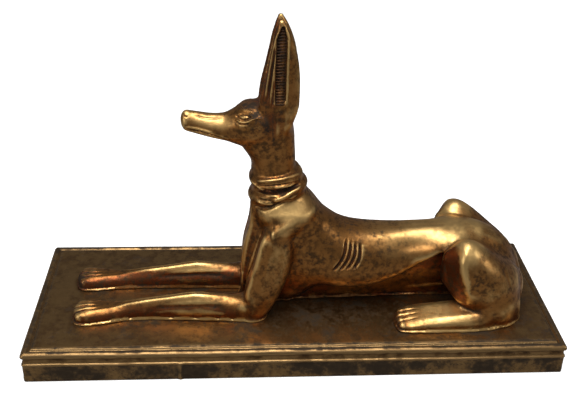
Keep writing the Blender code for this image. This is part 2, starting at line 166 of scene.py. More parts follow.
# %% Trunk, neck and head
figure = bmesh.new()
loft(figure, [
    (89.5, 0, 10, 8, 7, 14, 2.1),
    (86, 0, 12, 10, 11, 16, 2.1),
    (80, 0, 15, 10.4, 14.6, 20, 2.2),
    (72, 0, 20, 11, 13, 18, 2.2),
    (64, 0, 30, 10.2, 3.3, 3.2, 1.8),
    (56, 0, 25.6, 10.9, 7.3, 2.4, 1.7),
    (48, 0, 21.3, 11.4, 11.3, 3.6, 1.8),
    (38, 0, 17, 12.5, 15.1, 6.2, 2.0),
    (28, 0, 15.6, 13.6, 16.7, 7.6, 2.2),
    (18, 0, 16, 13.9, 19, 8.5, 2.2),
    (9, 0, 18, 13, 23.5, 11, 2.15),
    (0, 0, 20, 11.2, 22, 21, 2.1),
    (-9, 0, 20, 8.5, 16, 24, 2.1),
], ends=(3, 2.5))
breast = [(-12, 0, -4, 6.4, 8, 9.4, 2), (-12, 0, 10, 7, 8, 9, 2), (-11, 0, 22, 7.4, 8, 9.6, 2)]
loft(figure, breast + [(-9, 0, 33, 7.6, 8, 9, 2), (-7.4, 0, 44, 7.4, 8, 9, 2)], upright=True)
belly_web = [(66, 0, 4, 2.6, 22, 8, 2), (46, 0, 4, 2.6, 18, 8, 2), (28, 0, 4, 3.4, 9, 8, 2)]
loft(figure, belly_web + [(-10, 0, 4, 5, 8, 8, 2)])
loft(figure, [
    (-1, 0, 24, 11.4, 14, 13, 2.1),
    (-1.5, 0, 33, 12, 16, 13, 2.1),
    (-3.4, 0, 41, 13.2, 13.6, 12.6, 2.4),
    (-4.7, 0, 45, 11, 12, 11.6, 2.4),
    (-6, 0, 49, 8.7, 10.4, 10.6, 2.2),
    (-8, 0, 56, 7.5, 8, 9, 2.1),
    (-8.8, 0, 62, 7.3, 8.4, 8.4, 2.1),
    (-9.4, 0, 68, 7.5, 8.8, 11.4, 2.1),
    (-9.8, 0, 74, 7.6, 9, 13, 2.1),
], upright=True)
loft(figure, [
    (-4, 0, 78, 6.6, 5.5, 8, 2.2),
    (-9, 0, 78, 8.4, 7, 9.5, 2.2),
    (-14.5, 0, 77.6, 8.7, 7.2, 10, 2.2),
    (-19, 0, 77, 7.9, 7, 9.8, 2.2),
    (-22.6, 0, 76.2, 6.4, 5.8, 7.8, 2.2),
    (-26.4, 0, 75.6, 5.2, 4.5, 5.6, 2.3),
    (-31, 0, 75.6, 4.5, 4.2, 4.5, 2.4),
    (-36, 0, 76.5, 3.9, 4, 4.1, 2.4),
    (-40.2, 0, 77.6, 3.5, 3.6, 4, 2.4),
], ends=(2.5, 2.2))

# %% [markdown]
# ## Ears and limbs
#
# The ears are two tall leaves that stand close together. The forelegs lie straight out in front and end in
# broad paws; the upper arm runs down to the elbow, and the shoulder blade slopes up and back from its top.
# The pair of forelegs lies a little over two squares nearer the viewer than the middle of the body.

# %% Ears, forelegs and shoulders
FORELEGS_ASIDE = -2.3

both_sides(figure, [
    (-7.2, -5.4, 76, 3, 5, 5, 2.1),
    (-7.2, -5.1, 83, 3.3, 7, 7, 2.1),
    (-6.8, -4.6, 90, 3.1, 7, 6.9, 2.1),
    (-6.2, -4.2, 97, 2.9, 6.2, 6, 2.1),
    (-5.9, -3.9, 104, 2.6, 4.9, 4.8, 2.1),
    (-6.1, -3.7, 109, 2.2, 3.6, 3.6, 2.1),
    (-6.4, -3.6, 112.8, 1.6, 2.2, 2.2, 2.1),
    (-6.7, -3.6, 115, 1, 1.1, 1.1, 2),
], ends=(1, 1), upright=True)
both_sides(figure, [
    (-14, -10.9, 4.5, 5.6, 4.4, 9, 2.3),
    (-22, -10.9, 4.5, 5.4, 3.6, 9, 2.3),
    (-28, -10.7, 4.6, 5, 4.1, 9, 2.3),
    (-37, -10.6, 5, 4.7, 4.6, 9, 2.2),
    (-42, -10.5, 4.9, 4.5, 4.4, 9, 2.2),
    (-50, -10.4, 4.2, 4.1, 3.8, 8, 2.2),
    (-58, -10.4, 3.6, 3.9, 3.3, 8, 2.2),
    (-65, -10.5, 3, 3.9, 2.7, 8, 2.3),
    (-71, -10.8, 2.8, 4.6, 2, 7, 2.5),
    (-77, -11.1, 2.6, 5.6, 2.2, 7, 2.8),
    (-81.5, -11.2, 2.5, 6.2, 2.4, 7, 2.8),
    (-84.5, -11.2, 2.3, 5.9, 2.1, 6, 2.7),
], ends=(3, 3.1), aside=FORELEGS_ASIDE)
both_sides(figure, [
    (-17.6, -11.6, -4, 6, 3.4, 4.6, 2.5),
    (-15.6, -11.8, 4, 6.1, 6.8, 5.2, 2.6),
    (-12.8, -11.8, 12, 5.9, 7.8, 6.2, 2.7),
    (-10.2, -11.5, 20, 5.5, 8, 6.6, 2.7),
    (-8.4, -10.9, 28, 5, 7.2, 6.4, 2.6),
    (-7.2, -9.9, 34, 4.6, 5.6, 5.8, 2.4),
    (-6.6, -8.4, 39, 3.8, 3.4, 4, 2.2),
], upright=True, aside=FORELEGS_ASIDE / 2)
both_sides(figure, [
    (9, -3.2, 37.6, 3.6, 2.6, 2.2, 2.2),
    (5.6, -5.6, 38.6, 4.6, 3.6, 3.2, 2.2),
    (1.2, -8.2, 39, 5, 4.4, 4, 2.2),
    (-4, -10, 37.4, 5.2, 5, 4.4, 2.2),
    (-8.6, -10.8, 34.8, 4.6, 4.6, 4.6, 2.2),
], ends=(1.5, 2))

# %% [markdown]
# The folded thigh is the largest rounded form at the back. The hock joins it to the long flat hind foot, and
# the tail runs down between the haunches. The far haunch lies two squares further back than the near one.

# %% Haunches, hind feet and tail
FAR_HAUNCH_BACK = 2.0

both_sides(figure, [
    (89.5, -7.5, 9, 6, 6.6, 12, 2.1),
    (86, -10, 9.5, 9.4, 10.4, 14, 2.1),
    (80.5, -12.6, 11, 11, 13.2, 14, 2.1),
    (75, -14.2, 13, 10.8, 15.8, 14, 2.05),
    (70, -15, 15, 10, 17.6, 13.4, 2),
    (65.5, -15.6, 17, 9, 17.4, 11.6, 2),
    (62, -15.8, 18.4, 8.3, 14.8, 9.6, 2.1),
    (58, -15, 20, 4.8, 9.4, 7, 2.1),
], ends=(3, 2), far_back=FAR_HAUNCH_BACK)
both_sides(figure, [
    (87.2, -13.6, 4, 7.8, 8, 8, 2.2),
    (82, -16.4, 5, 8.8, 10, 9, 2.2),
    (75, -17.6, 5, 8.2, 8, 9, 2.2),
    (70, -17.4, 5, 6.6, 6, 8, 2.2),
], ends=(2.4, 2), far_back=FAR_HAUNCH_BACK / 2)
both_sides(figure, [
    (84, -15, 2.5, 7, 4, 6, 2.4),
    (78, -18.8, 2.6, 6.6, 4.6, 6, 2.6),
    (70, -20.4, 2.4, 6.2, 4.8, 6, 3.2),
    (62, -20.7, 2.2, 6.1, 4.2, 6, 3.6),
    (52, -20.7, 1.7, 6.1, 3.5, 6, 3.6),
    (45, -20.6, 1.3, 6.2, 2.8, 5, 3.2),
    (42.4, -20.5, 1.2, 6, 2.2, 4, 2.8),
], ends=(2, 3.4))
loft(figure, [
    (89.6, 0, -3, 2.3, 3.2, 6, 2),
    (89.2, 0, 8, 2.6, 3.4, 6, 2),
    (87, 0, 17, 2.8, 3.6, 6, 2),
    (82, 0, 26, 3, 3.4, 6, 2),
    (78, 0, 29, 2.4, 2.6, 6, 2),
], upright=True)

# %% [markdown]
# ## Scarf
#
# The scarf goes twice round the neck, and its two ends hang down the breast. Each turn is a hoop with an
# oval cross section. The strand that crosses the lower turn, as in a loose knot, is carved later.


# %% Scarf
def roll(bm, centre, reach, tilt, thickness, turns=72, sides=24):
    """A roll of cloth laid round the neck: an oval hoop whose front hangs lower by the tilt."""
    rings = []
    for k in range(turns):
        a = 2 * pi * k / turns
        out = np.array([cos(a), sin(a), 0.0])
        middle = np.array(centre) + np.array([reach[0] * cos(a), reach[1] * sin(a), tilt * cos(a)])
        ring = []
        for j in range(sides):
            b = 2 * pi * j / sides
            ring.append(middle + out * thickness[0] * cos(b) + np.array([0, 0, thickness[1] * sin(b)]))
        rings.append(ring)
    skin(bm, rings, closed=True)


roll(figure, (-7.6, 0, 54.9), (7.8, 7.4), 0.6, (2.5, 2.8))
roll(figure, (-6.8, 0, 49.6), (8.8, 8.3), 2.6, (2.6, 2.4))
both_sides(figure, [
    (-14, -4, 47, 2.1, 3, 3.2, 2.4),
    (-15.9, -3.9, 36, 2.1, 2, 1.8, 2.4),
    (-18.6, -3.5, 24, 2.1, 2, 1.6, 2.4),
    (-19.6, -3.2, 8, 2, 2, 1.4, 2.4),
], ends=(1, 1), sides=12, upright=True)

# %% [markdown]
# ## One skin over all of it
#
# The lofts pass through each other. A voxel remesh draws one closed skin over them, and a Smooth modifier
# rubs the seams round, as sanding does. Then the skin is cut off level with the slab and closed below.

# %% One skin
SKIN_FINENESS = 0.5
RUBS = 6
CUT_MARGIN = 0.2


def mesh_object(name, bm):
    """Puts a bmesh into a new object of the scene."""
    mesh = bpy.data.meshes.new(name)
    bm.to_mesh(mesh)
    bm.free()
    made = bpy.data.objects.new(name, mesh)
    bpy.context.scene.collection.objects.link(made)
    return made


def settle(made):
    """Replaces the object's mesh by what its modifiers make of it."""
    graph = bpy.context.evaluated_depsgraph_get()
    mesh = bpy.data.meshes.new_from_object(made.evaluated_get(graph))
    made.modifiers.clear()
    made.data = mesh


bmesh.ops.recalc_face_normals(figure, faces=figure.faces)
jackal = mesh_object("jackal_casting", figure)
one_skin = jackal.modifiers.new("one skin", "REMESH")
one_skin.mode = "VOXEL"
one_skin.voxel_size = SKIN_FINENESS
rubbed = jackal.modifiers.new("rubbed", "SMOOTH")
rubbed.factor = 0.5
rubbed.iterations = RUBS
settle(jackal)
print("skin:", len(jackal.data.polygons), "faces")

# %% [markdown]
# The face, the ears, the scarf, the ribs and the paws carry finer carving than the rest, so the faces there
# are cut in four before the carving starts. That puts the points where the detail is.

# %% Finer points where the carving is fine
FINE_REGIONS = (
    ("head", (-44, -10), (70, 88)),
    ("ears", (-16, 2), (84, 117)),
    ("scarf", (-19, 6), (43, 60)),
    ("ribs", (12, 30), (16, 34)),
    ("fore paws", (-92, -72), (-1, 8)),
    ("hind paws", (36, 50), (-1, 6)),
)


def in_region(x, z, region):
    """Whether a place in the side view lies in the named region's ranges of x and z."""
    _, across, up = region
    return (across[0] < x) & (x < across[1]) & (up[0] < z) & (z < up[1])


bm = bmesh.new()
bm.from_mesh(jackal.data)
everything = bm.verts[:] + bm.edges[:] + bm.faces[:]
cut = {"plane_co": (0, 0, 0), "plane_no": (0, 0, -1), "clear_outer": True}
bmesh.ops.bisect_plane(bm, geom=everything, dist=1e-4, **cut)
bmesh.ops.holes_fill(bm, edges=[edge for edge in bm.edges if edge.is_boundary], sides=0)
fine_edges = []
for edge in bm.edges:
    x, _, z = (edge.verts[0].co + edge.verts[1].co) / 2
    if z > CUT_MARGIN and any(in_region(x, z, region) for region in FINE_REGIONS):
        fine_edges.append(edge)
bmesh.ops.subdivide_edges(bm, edges=fine_edges, cuts=1, use_grid_fill=True)
bmesh.ops.triangulate(bm, faces=bm.faces)
bm.to_mesh(jackal.data)
bm.free()
print("skin with fine regions:", len(jackal.data.polygons), "triangles")

# %% [markdown]
# ## Carving
#
# A groove or a ridge is a line drawn in the side view, with a width and a height. Every point of the skin
# near that line moves along its own normal, most on the line and less beside it, and the effect tapers
# towards both ends of the stroke. Lines drawn in the side view land on both flanks at once.


# %% The carving tool
def vertex_rows(mesh, what):
    """The mesh's places or normals as rows of three numbers."""
    rows = np.empty(len(mesh.vertices) * 3, np.float32)
    mesh.vertices.foreach_get(what, rows)
    return rows.reshape(-1, 3).astype(float)


def put_places(mesh, rows):
    """Moves the mesh's vertices to new places."""
    mesh.vertices.foreach_set("co", rows.ravel().astype(np.float32))
    mesh.update()


def fade(low, high, value):
    """0 below low, 1 above high, and a smooth change between."""
    share = np.clip((value - low) / (high - low), 0, 1)
    return share * share * (3 - 2 * share)


def stroke(path, places, width, taper=0.2):
    """How strongly each place feels a smooth line: 1 on it, less beside it and towards its ends."""
    line = smooth_through(path, 6)
    felt = np.zeros(len(places))
    near = np.all((places > line.min(0) - 3 * width) & (places < line.max(0) + 3 * width), axis=1)
    flat = places[near]
    nearest = np.full(len(flat), np.inf)
    along = np.zeros(len(flat))
    for k, (a, b) in enumerate(zip(line[:-1], line[1:])):
        share = np.clip((flat - a) @ (b - a) / ((b - a) @ (b - a)), 0, 1)
        away = np.linalg.norm(flat - a - share[:, None] * (b - a), axis=1)
        closer = away < nearest
        nearest[closer] = away[closer]
        along[closer] = (k + share[closer]) / (len(line) - 1)
    ends = 1 if taper == 0 else fade(0, taper, np.minimum(along, 1 - along))
    felt[near] = np.exp(-((nearest / width) ** 2)) * ends
    return felt


def carve(strokes, view, share, taper=0.2):
    """Raises or lowers the skin by rows of strokes, each a path drawn in the view, a height and a width."""
    for path, height, width in strokes:
        raised[:] += height * share * stroke(path, view, width, taper)


def mound(places, centre, reach, lean=0.0):
    """1 at the centre of an oval and fading to 0 round it; the oval may lean, in radians."""
    x, z = (places - centre).T
    along = (x * cos(lean) + z * sin(lean)) / reach[0]
    beside = (z * cos(lean) - x * sin(lean)) / reach[1]
    return np.exp(-(along**2 + beside**2))


def spread(values, ends, count, times):
    """Mixes each vertex value with its neighbours', the given number of times."""
    from_end, to_end = ends
    neighbours = np.bincount(from_end, minlength=count) + np.bincount(to_end, minlength=count)
    neighbours = np.maximum(neighbours, 1)
    values = values.copy()
    for _ in range(times):
        for column in range(values.shape[1]):
            near = np.bincount(from_end, values[to_end, column], count)
            near += np.bincount(to_end, values[from_end, column], count)
            values[:, column] = 0.5 * values[:, column] + 0.5 * near / neighbours
    return values


def mesh_edges(mesh):
    """The two end vertices of every edge."""
    ends = np.empty(len(mesh.edges) * 2, np.int32)
    mesh.edges.foreach_get("vertices", ends)
    return ends.reshape(-1, 2).T


# %% [markdown]
# ### Rubbing the joints soft
#
# Where two lofts meet, the skin has a sharp valley, but the real casting flows there: behind the head, at the
# shoulder, and where the thigh passes into the rump. In those places the skin is blended with a copy of
# itself that has been smoothed many times.

# %% Soft joints
SOFT_JOINTS = (
    ((-4, 74), (8, 8), 60, 1.0),
    ((-12, 70), (6, 5), 30, 0.8),
    ((6, 30), (9, 16), 70, 0.9),
    ((-1, 20), (4, 12), 30, 0.8),
    ((76, 26), (12, 8), 90, 1.0),
    ((62, 33), (5, 3), 30, 0.6),
    ((82, 8), (7, 6), 60, 0.9),
    ((-14, 20), (3, 18), 40, 0.9),
    ((-1, 43), (9, 4), 40, 0.8),
    ((6, 42.5), (8, 7), 90, 1.0),
    ((-7, 52), (14, 6), 14, 0.8),
    ((40, 20), (26, 12), 20, 1.0),
)
FULL_INSIDE = 1.6
HELD_BELOW = (0.5, 2.5)

points = vertex_rows(jackal.data, "co")
edges = mesh_edges(jackal.data)
soft = points.copy()
done = 0
for centre, reach, times, share in sorted(SOFT_JOINTS, key=lambda joint: joint[2]):
    soft = spread(soft, edges, len(points), times - done)
    done = times
    felt = np.clip(FULL_INSIDE * mound(points[:, [0, 2]], centre, reach), 0, 1)
    weight = share * felt * fade(*HELD_BELOW, points[:, 2])
    points += weight[:, None] * (soft - points)
put_places(jackal.data, points)

# %% [markdown]
# The muzzle is wedge-shaped from the front: narrow on top and wide at the mouth, so its sides face partly up
# and shine. Each slice of it is squeezed more the higher it lies. In the same way the forelegs are made
# narrow on top, the hind feet lower on their outside, and the thigh is cut back in front of its upright edge.
# The near paw ends a little short of the far one. After that, the carving needs each point's place as the
# side view and the top view show it.

# %% Slanted forms
MUZZLE_SLANT = 0.085
MUZZLE_ROOT = -21
MUZZLE_FADE = 6
MUZZLE_REACH = (-3, 5)
MUZZLE_MIDDLE = ((-40, 77.2), (-30, 75.4), (-20, 75.8))
UNDER_HEAD = 60
OVER_LEGS = 14
FOOT_SLANT = 0.04
FORELEG_SLANT = 0.55
FORELEG_PLACE = 10.7
FORELEG_TOP = ((-85, 4.6), (-76, 4.8), (-65, 5.7), (-58, 6.9), (-50, 8), (-42, 9.3), (-37, 9.6), (-28, 8.7))
NEAR_PAW_BACK = 1.7
PAW_ROOT = -60
PAW_FADE = 24
THIGH_FRONT_SLANT = 0.5
THIGH_FRONT_REACH = 6
LOINS_END = 56
FOOT_OUTSIDE = 20
THIGH_EDGE = ((14, 66), (18, 64.6), (24, 63), (28, 62.4), (32, 63.6), (36, 66))


def thigh_edge_at(places):
    """Where the upright front edge of the thigh runs at the height of each place."""
    return np.interp(places[:, 2], *zip(*THIGH_EDGE)) + FAR_HAUNCH_BACK * (places[:, 1] > 0)


middle = np.interp(points[:, 0], *zip(*MUZZLE_MIDDLE))
on_muzzle = np.clip((MUZZLE_ROOT - points[:, 0]) / MUZZLE_FADE, 0, 1) * (points[:, 2] > UNDER_HEAD)
points[:, 1] *= 1 - MUZZLE_SLANT * on_muzzle * np.clip(points[:, 2] - middle, *MUZZLE_REACH)

low_points = points[:, 2] < OVER_LEGS
on_leg = fade(-19, -25, points[:, 0]) * np.interp(points[:, 0], (-84, -70), (0.4, 1)) * low_points
rise = np.clip(points[:, 2] / np.interp(points[:, 0], *zip(*FORELEG_TOP)), 0, 1)
aside = points[:, 1] - FORELEGS_ASIDE
from_leg = (np.abs(aside) - FORELEG_PLACE) * (1 - FORELEG_SLANT * on_leg * rise**2)
points[:, 1] = np.sign(aside) * (FORELEG_PLACE + from_leg) + FORELEGS_ASIDE
paw_back = NEAR_PAW_BACK * np.clip((PAW_ROOT - points[:, 0]) / PAW_FADE, 0, 1) * (aside < 0) * low_points
points[:, 0] += paw_back

before_edge = np.clip(thigh_edge_at(points) - points[:, 0], 0, THIGH_FRONT_REACH)
on_thigh = fade(14, 17, np.abs(points[:, 1])) * fade(8, 12, points[:, 2]) * (points[:, 0] > LOINS_END)
points[:, 1] -= np.sign(points[:, 1]) * THIGH_FRONT_SLANT * before_edge * on_thigh

foot_share = fade(38, 44, points[:, 0]) * fade(76, 68, points[:, 0]) * fade(9, 7, points[:, 2])
foot_share *= fade(11, 13, np.abs(points[:, 1]))
points[:, 2] *= 1 + FOOT_SLANT * foot_share * (FOOT_OUTSIDE - np.abs(points[:, 1]))
put_places(jackal.data, points)

# %% The views that the strokes are drawn in
points = vertex_rows(jackal.data, "co")
normals = vertex_rows(jackal.data, "normal")
x, y, z = points.T
side_view = points[:, [0, 2]]
paw_view = np.stack([x - paw_back, np.abs(y - FORELEGS_ASIDE)], axis=1)
hind_view = np.stack([x, np.abs(y)], axis=1)
haunch_view = side_view - np.outer(y > 0, (FAR_HAUNCH_BACK, 0))
faces_side = fade(0.12, 0.45, np.abs(normals[:, 1]))
faces_out = normals[:, 1] * np.sign(y)
raised = np.zeros(len(points))

# %% [markdown]
# ### Face
#
# The eye is an almond with a raised ball inside a fine cut outline, and has a lid above and below it. The
# lower lid's line runs on towards the ear. The mouth is one long line, and the nostril a small pit.

# %% Face
EYE = [(-21.8, 80.8), (-20.2, 80.3), (-18.6, 80.6), (-17.4, 81.6), (-18.8, 81.9), (-20.5, 81.7)]
MOUTH = [(-42, 75.3), (-38, 75), (-34, 74.2), (-29.6, 73), (-25.5, 71.8)]
FACE_STROKES = (
    ([(-23, 79.7), (-20.6, 79.4), (-18.2, 79.9), (-16, 81), (-12.6, 81.6)], 0.38, 0.28),
    ([(-22.4, 79), (-20, 78.8), (-17.6, 79.4)], -0.3, 0.28),
    ([(-22.6, 81.6), (-20.8, 82.7), (-18.4, 83), (-15.4, 82.7)], 0.34, 0.32),
    ([(-20, 77.2), (-17, 76.2), (-14, 77)], -0.2, 1.0),
    ([(-41, 76.2), (-37.8, 75.9), (-34, 75.1), (-29.4, 73.9)], 0.25, 0.4),
    ([(-41.2, 79.9), (-40.4, 79.6), (-39.6, 79.8)], -0.3, 0.25),
    ([(-37.6, 80.1), (-33, 79), (-27, 79)], -0.25, 0.3),
)
on_head = faces_side * fade(-10, -12, x)
eye_corners = mound(side_view, (-22, 80.7), (0.5, 0.35)) + mound(side_view, (-17.3, 81.4), (0.6, 0.35))
raised -= 0.3 * on_head * eye_corners
raised += 0.2 * on_head * mound(side_view, (-19.6, 81.1), (1.1, 0.4), lean=0.2)
carve([(EYE + EYE[:1], -0.34, 0.22)], side_view, on_head, taper=0)
carve([(MOUTH, -0.6, 0.38)], side_view, on_head, taper=0.08)
carve(FACE_STROKES, side_view, on_head)

# %% [markdown]
# ### Ears
#
# The outer face of each ear is a long pointed panel, sunk between two rims. In front of it two folds run up
# the ear, and below it a soft band of folds goes on down the cheek to the scarf.

# %% Ears
PANEL_FOOT = 84.5
PANEL_TOP = 113.8
PANEL_DEPTH = 1.25
PANEL_MIDDLE = (-7.0, -6.9, -6.8, -6.5, -6.2)
PANEL_HALF = (1.2, 1.8, 1.8, 1.75, 0.4)
PANEL_SHARES = (0, 0.12, 0.5, 0.85, 1)
RIM_AWAY = 0.6
RIM_HALF_WIDTH = 0.45

up_panel = np.clip((z - PANEL_FOOT) / (PANEL_TOP - PANEL_FOOT), 0, 1)
panel_middle = np.interp(up_panel, PANEL_SHARES, PANEL_MIDDLE)
panel_half = np.interp(up_panel, PANEL_SHARES, PANEL_HALF)
outer_ear = fade(3.4, 4.2, np.abs(y)) * fade(0.2, 0.5, faces_out) * fade(83, 85, z)
in_panel = outer_ear * fade(-0.35, 0.35, panel_half - np.abs(x - panel_middle)) * fade(PANEL_FOOT, 90, z)
in_panel *= fade(PANEL_TOP + 0.4, PANEL_TOP - 0.6, z)
on_ear = fade(0, 0.25, faces_out) * fade(83, 86, z) * fade(2.4, 3.4, np.abs(y))
for edge in (-1, 1):
    rim = panel_middle + edge * (panel_half + RIM_AWAY)
    on_rim = outer_ear * np.exp(-(((x - rim) / RIM_HALF_WIDTH) ** 2)) * fade(87, 92, z) * fade(114, 111, z)
    raised += (0.2 + 0.1 * edge) * on_rim
EAR_FOLDS = (
    ([(-8.3, 114.5), (-9.6, 109), (-10.8, 103), (-11.8, 97), (-12.8, 91), (-13.7, 85)], -0.6, 0.42),
    ([(-8.3, 111.5), (-9.4, 106), (-10.5, 99.5), (-11.6, 92), (-12.6, 86)], 0.42, 0.4),
    ([(-8.6, 107.5), (-9.6, 101), (-10.6, 94), (-11.6, 85.6)], -0.6, 0.38),
    ([(-8.9, 101), (-9.8, 93), (-10.6, 85.4)], 0.3, 0.36),
    ([(-8.9, 96), (-9.3, 90), (-9.8, 84.6)], -0.45, 0.34),
)
carve(EAR_FOLDS, side_view, on_ear, taper=0.3)
CHEEK_FOLD = np.array([(0, 87), (0.1, 82), (0.3, 76), (0.7, 69), (0.9, 64)])
below_ear = faces_side * fade(60, 66, z)
for fold, height in ((-9.6, -0.25), (-8, 0.08), (-6.2, -0.2)):
    carve([(CHEEK_FOLD + (fold, 0), height, 0.6)], side_view, below_ear, taper=0.5)

# %% [markdown]
# ### Scarf folds
#
# Rolled cloth shows lines that run nearly along the roll. Grooves and raised lines take turns, and the
# raised ones catch the light on their upper edge.

# %% Scarf folds
SCARF_FOLDS = (
    ([(-16, 55.4), (-12, 56.4), (-6.5, 57.3), (-1, 57.6), (2, 57)], 0.45, 0.5),
    ([(-16, 53.7), (-12, 54.6), (-8, 55.4), (-3, 55.6), (1, 55)], -0.5, 0.42),
    ([(-9, 54.4), (-5, 54.6), (-1, 54.5)], 0.3, 0.4),
    ([(-17.4, 54.8), (-14.6, 53.8), (-11.6, 52.4)], 0.6, 0.5),
    ([(-17, 53.2), (-14.4, 52.6), (-12, 51.8)], -0.5, 0.4),
    ([(-16, 51.6), (-12, 52), (-7, 52.7), (-2, 53.5), (2, 54)], -1.0, 0.6),
    ([(-15.4, 50.4), (-11, 50.6), (-6.5, 51.2)], 0.4, 0.45),
    ([(-9.5, 49.2), (-5.5, 50.6), (-1.5, 52.4), (2.4, 53.4)], 0.75, 0.7),
    ([(-8, 48.2), (-4, 49.6), (0.5, 51.6)], -0.55, 0.45),
    ([(-16.6, 44.4), (-12.6, 45.2), (-9, 46.6), (-5, 48.3), (-1.5, 49.6)], -0.8, 0.7),
    ([(-15.5, 47.6), (-11.5, 47.6), (-8.4, 48.2)], 0.45, 0.5),
    ([(-15.8, 49), (-12, 49), (-9, 49.4)], -0.45, 0.35),
)
carve(SCARF_FOLDS, side_view, fade(42, 45, z) * fade(61, 59, z) * faces_side)

# %% [markdown]
# ### Body and legs
#
# Four short curved grooves stand for the ribs. The thigh has a ridge down its front edge, the shoulder blade
# ends in a crease, and each foreleg has a long soft ridge with a shallow valley under it.

# %% Ribs, shoulder and thigh
RIBS = 4
FIRST_RIB = np.array([(19.8, 31.8), (18.3, 25.2), (13.9, 18.6)])
NEXT_RIB = np.array([(1.7, -0.7), (2.1, -0.2), (2.7, 0.3)])
BODY_STROKES = (
    ([(9.4, 41.4), (6, 39.6), (1.6, 36.6), (-2.4, 32.6)], -0.25, 1.6),
    ([(10, 45), (4.6, 43), (0, 41), (-5, 39.6), (-10, 37.4)], 0.25, 1.8),
    ([(-11.2, 37), (-13.6, 31), (-16, 22), (-18.3, 13), (-19, 7)], 0.55, 0.9),
    ([(-9.5, 34), (-11.5, 28), (-14, 18), (-16, 9)], -0.3, 1.6),
)
FLANK_STROKES = (
    ([(36, 26.4), (44, 27.6), (52, 28.4), (58, 29)], -0.55, 2.0),
    ([(40, 22), (48, 23), (55, 25), (60, 28)], 0.3, 1.4),
)
THIGH_STROKES = (
    ([(64.6, 33), (62.8, 30.5), (62.4, 26.5), (63.6, 22.4), (67.2, 16.4)], 0.3, 1.6),
    ([(72, 30), (77, 26), (81, 20), (83, 14)], -0.12, 0.5),
    ([(73.4, 31), (78.6, 26.4), (82.6, 20.4)], 0.12, 0.5),
    ([(75, 31.6), (80.2, 26.8), (84, 21)], -0.12, 0.5),
)
BACK_RIDGE = [(22, 31), (36, 30.4), (46, 31.4), (54, 32.2), (62, 33)]

carve([(FIRST_RIB + k * NEXT_RIB, -1.15, 0.56) for k in range(RIBS)], side_view, faces_side)
carve(BODY_STROKES, side_view, faces_side)
outside = fade(12, 16, np.abs(y)) * fade(0.15, 0.55, np.abs(normals[:, 1]))
carve(THIGH_STROKES, haunch_view, outside)
on_back = fade(0.2, 0.5, normals[:, 2]) * fade(1, 3, np.abs(y))
carve([(BACK_RIDGE, 0.3, 1.2)], side_view, on_back)
carve(FLANK_STROKES, side_view, faces_side, taper=0.4)

# %% Legs and paws
LEG_RIDGE = [(-82, 4.4), (-76, 4.5), (-65, 5.4), (-58, 6.6), (-50, 7.7), (-42, 8.9), (-37, 9.2), (-28, 8.3)]
LEG_STROKES = (
    (LEG_RIDGE, 0.25, 0.7),
    ([(-58, 4.2), (-46, 5.2), (-36, 5.8), (-26, 5)], -0.4, 0.8),
    ([(-50, 3), (-36, 3.2), (-24, 3)], 0.2, 1.0),
    ([(44, 3.6), (52, 4.4), (62, 5.2), (72, 6)], 0.3, 0.6),
)
TOE_PITCH = 3.1
TOE_HEIGHT = 0.2
FORE_TOES = 11.2
HIND_TOES = 20.6
FORE_GAP = ((-91, FORE_TOES, 1), (-86, FORE_TOES, 1), (-81, 11.1, 0.75), (-75, 10.9, 0.5))
HIND_GAP = ((34, HIND_TOES, 1), (40, HIND_TOES, 1), (44, HIND_TOES, 0.8), (49, HIND_TOES, 0.65))

low = fade(16, 13, z)
carve(LEG_STROKES, side_view, low * faces_side)
on_toes = fade(-0.5, 0, normals[:, 2]) * low
for gap in (-TOE_PITCH, 0, TOE_PITCH):
    fore_gap = [(along, middle + part * gap) for along, middle, part in FORE_GAP]
    hind_gap = [(along, middle + part * gap) for along, middle, part in HIND_GAP]
    carve([(fore_gap, -0.7, 0.36)], paw_view, on_toes, taper=0.6)
    carve([(hind_gap, -0.6, 0.33)], hind_view, on_toes, taper=0.6)
for toe in (-1.5, -0.5, 0.5, 1.5):
    raised += TOE_HEIGHT * on_toes * mound(paw_view, (-84.6, FORE_TOES + toe * TOE_PITCH), (1.8, 1.1))
    raised += TOE_HEIGHT * on_toes * mound(hind_view, (40.4, HIND_TOES + toe * TOE_PITCH), (1.5, 1.1))

# %% [markdown]
# ### The lip round the foot of the casting
#
# Where the figure stands on the slab, the mould has left a thin flange less than a millimetre wide. The
# lowest half millimetre of the skin is pushed straight outwards to make it.

# %% Carve it all, and give it the lip
LIP_WIDTH = 0.75
LIP_THICKNESS = 0.4

above_cut = points[:, 2] > 1e-3
shaped = points + normals * raised[:, None]
shaped[:, 1] -= np.sign(y) * in_panel * PANEL_DEPTH
outwards = normals * (1, 1, 0)
outwards /= np.maximum(np.linalg.norm(outwards, axis=1), 0.2)[:, None]
wander = 1 + 0.12 * np.sin(0.5 * x + 0.7 * y) + 0.08 * np.sin(1.3 * x - 0.9 * y)
shaped += outwards * (LIP_WIDTH * wander * fade(LIP_THICKNESS + 0.25, LIP_THICKNESS - 0.1, z))[:, None]
points[above_cut] = shaped[above_cut]
at_cut = ~above_cut & (np.abs(normals[:, 2]) < 0.95)
points[at_cut] += (outwards * (LIP_WIDTH * wander)[:, None])[at_cut]
put_places(jackal.data, points)

# %% [markdown]
# ## Thinning the mesh
#
# Even triangles over smooth parts are a waste. The Decimate modifier folds edges where the surface is
# nearly flat and keeps them where the carving is, so the file stays light and the detail sharp.

# %% Thin it and put it in its place
CASTING_TRIANGLES = 185000

thinned = jackal.modifiers.new("thinned", "DECIMATE")
thinned.ratio = min(1, CASTING_TRIANGLES / len(jackal.data.polygons))
settle(jackal)
jackal.data.transform(Matrix.Translation(FIGURE_PLACE) @ Matrix.Scale(SQUARE, 4))
jackal.data.shade_smooth()
print("jackal casting:", len(jackal.data.polygons), "triangles")

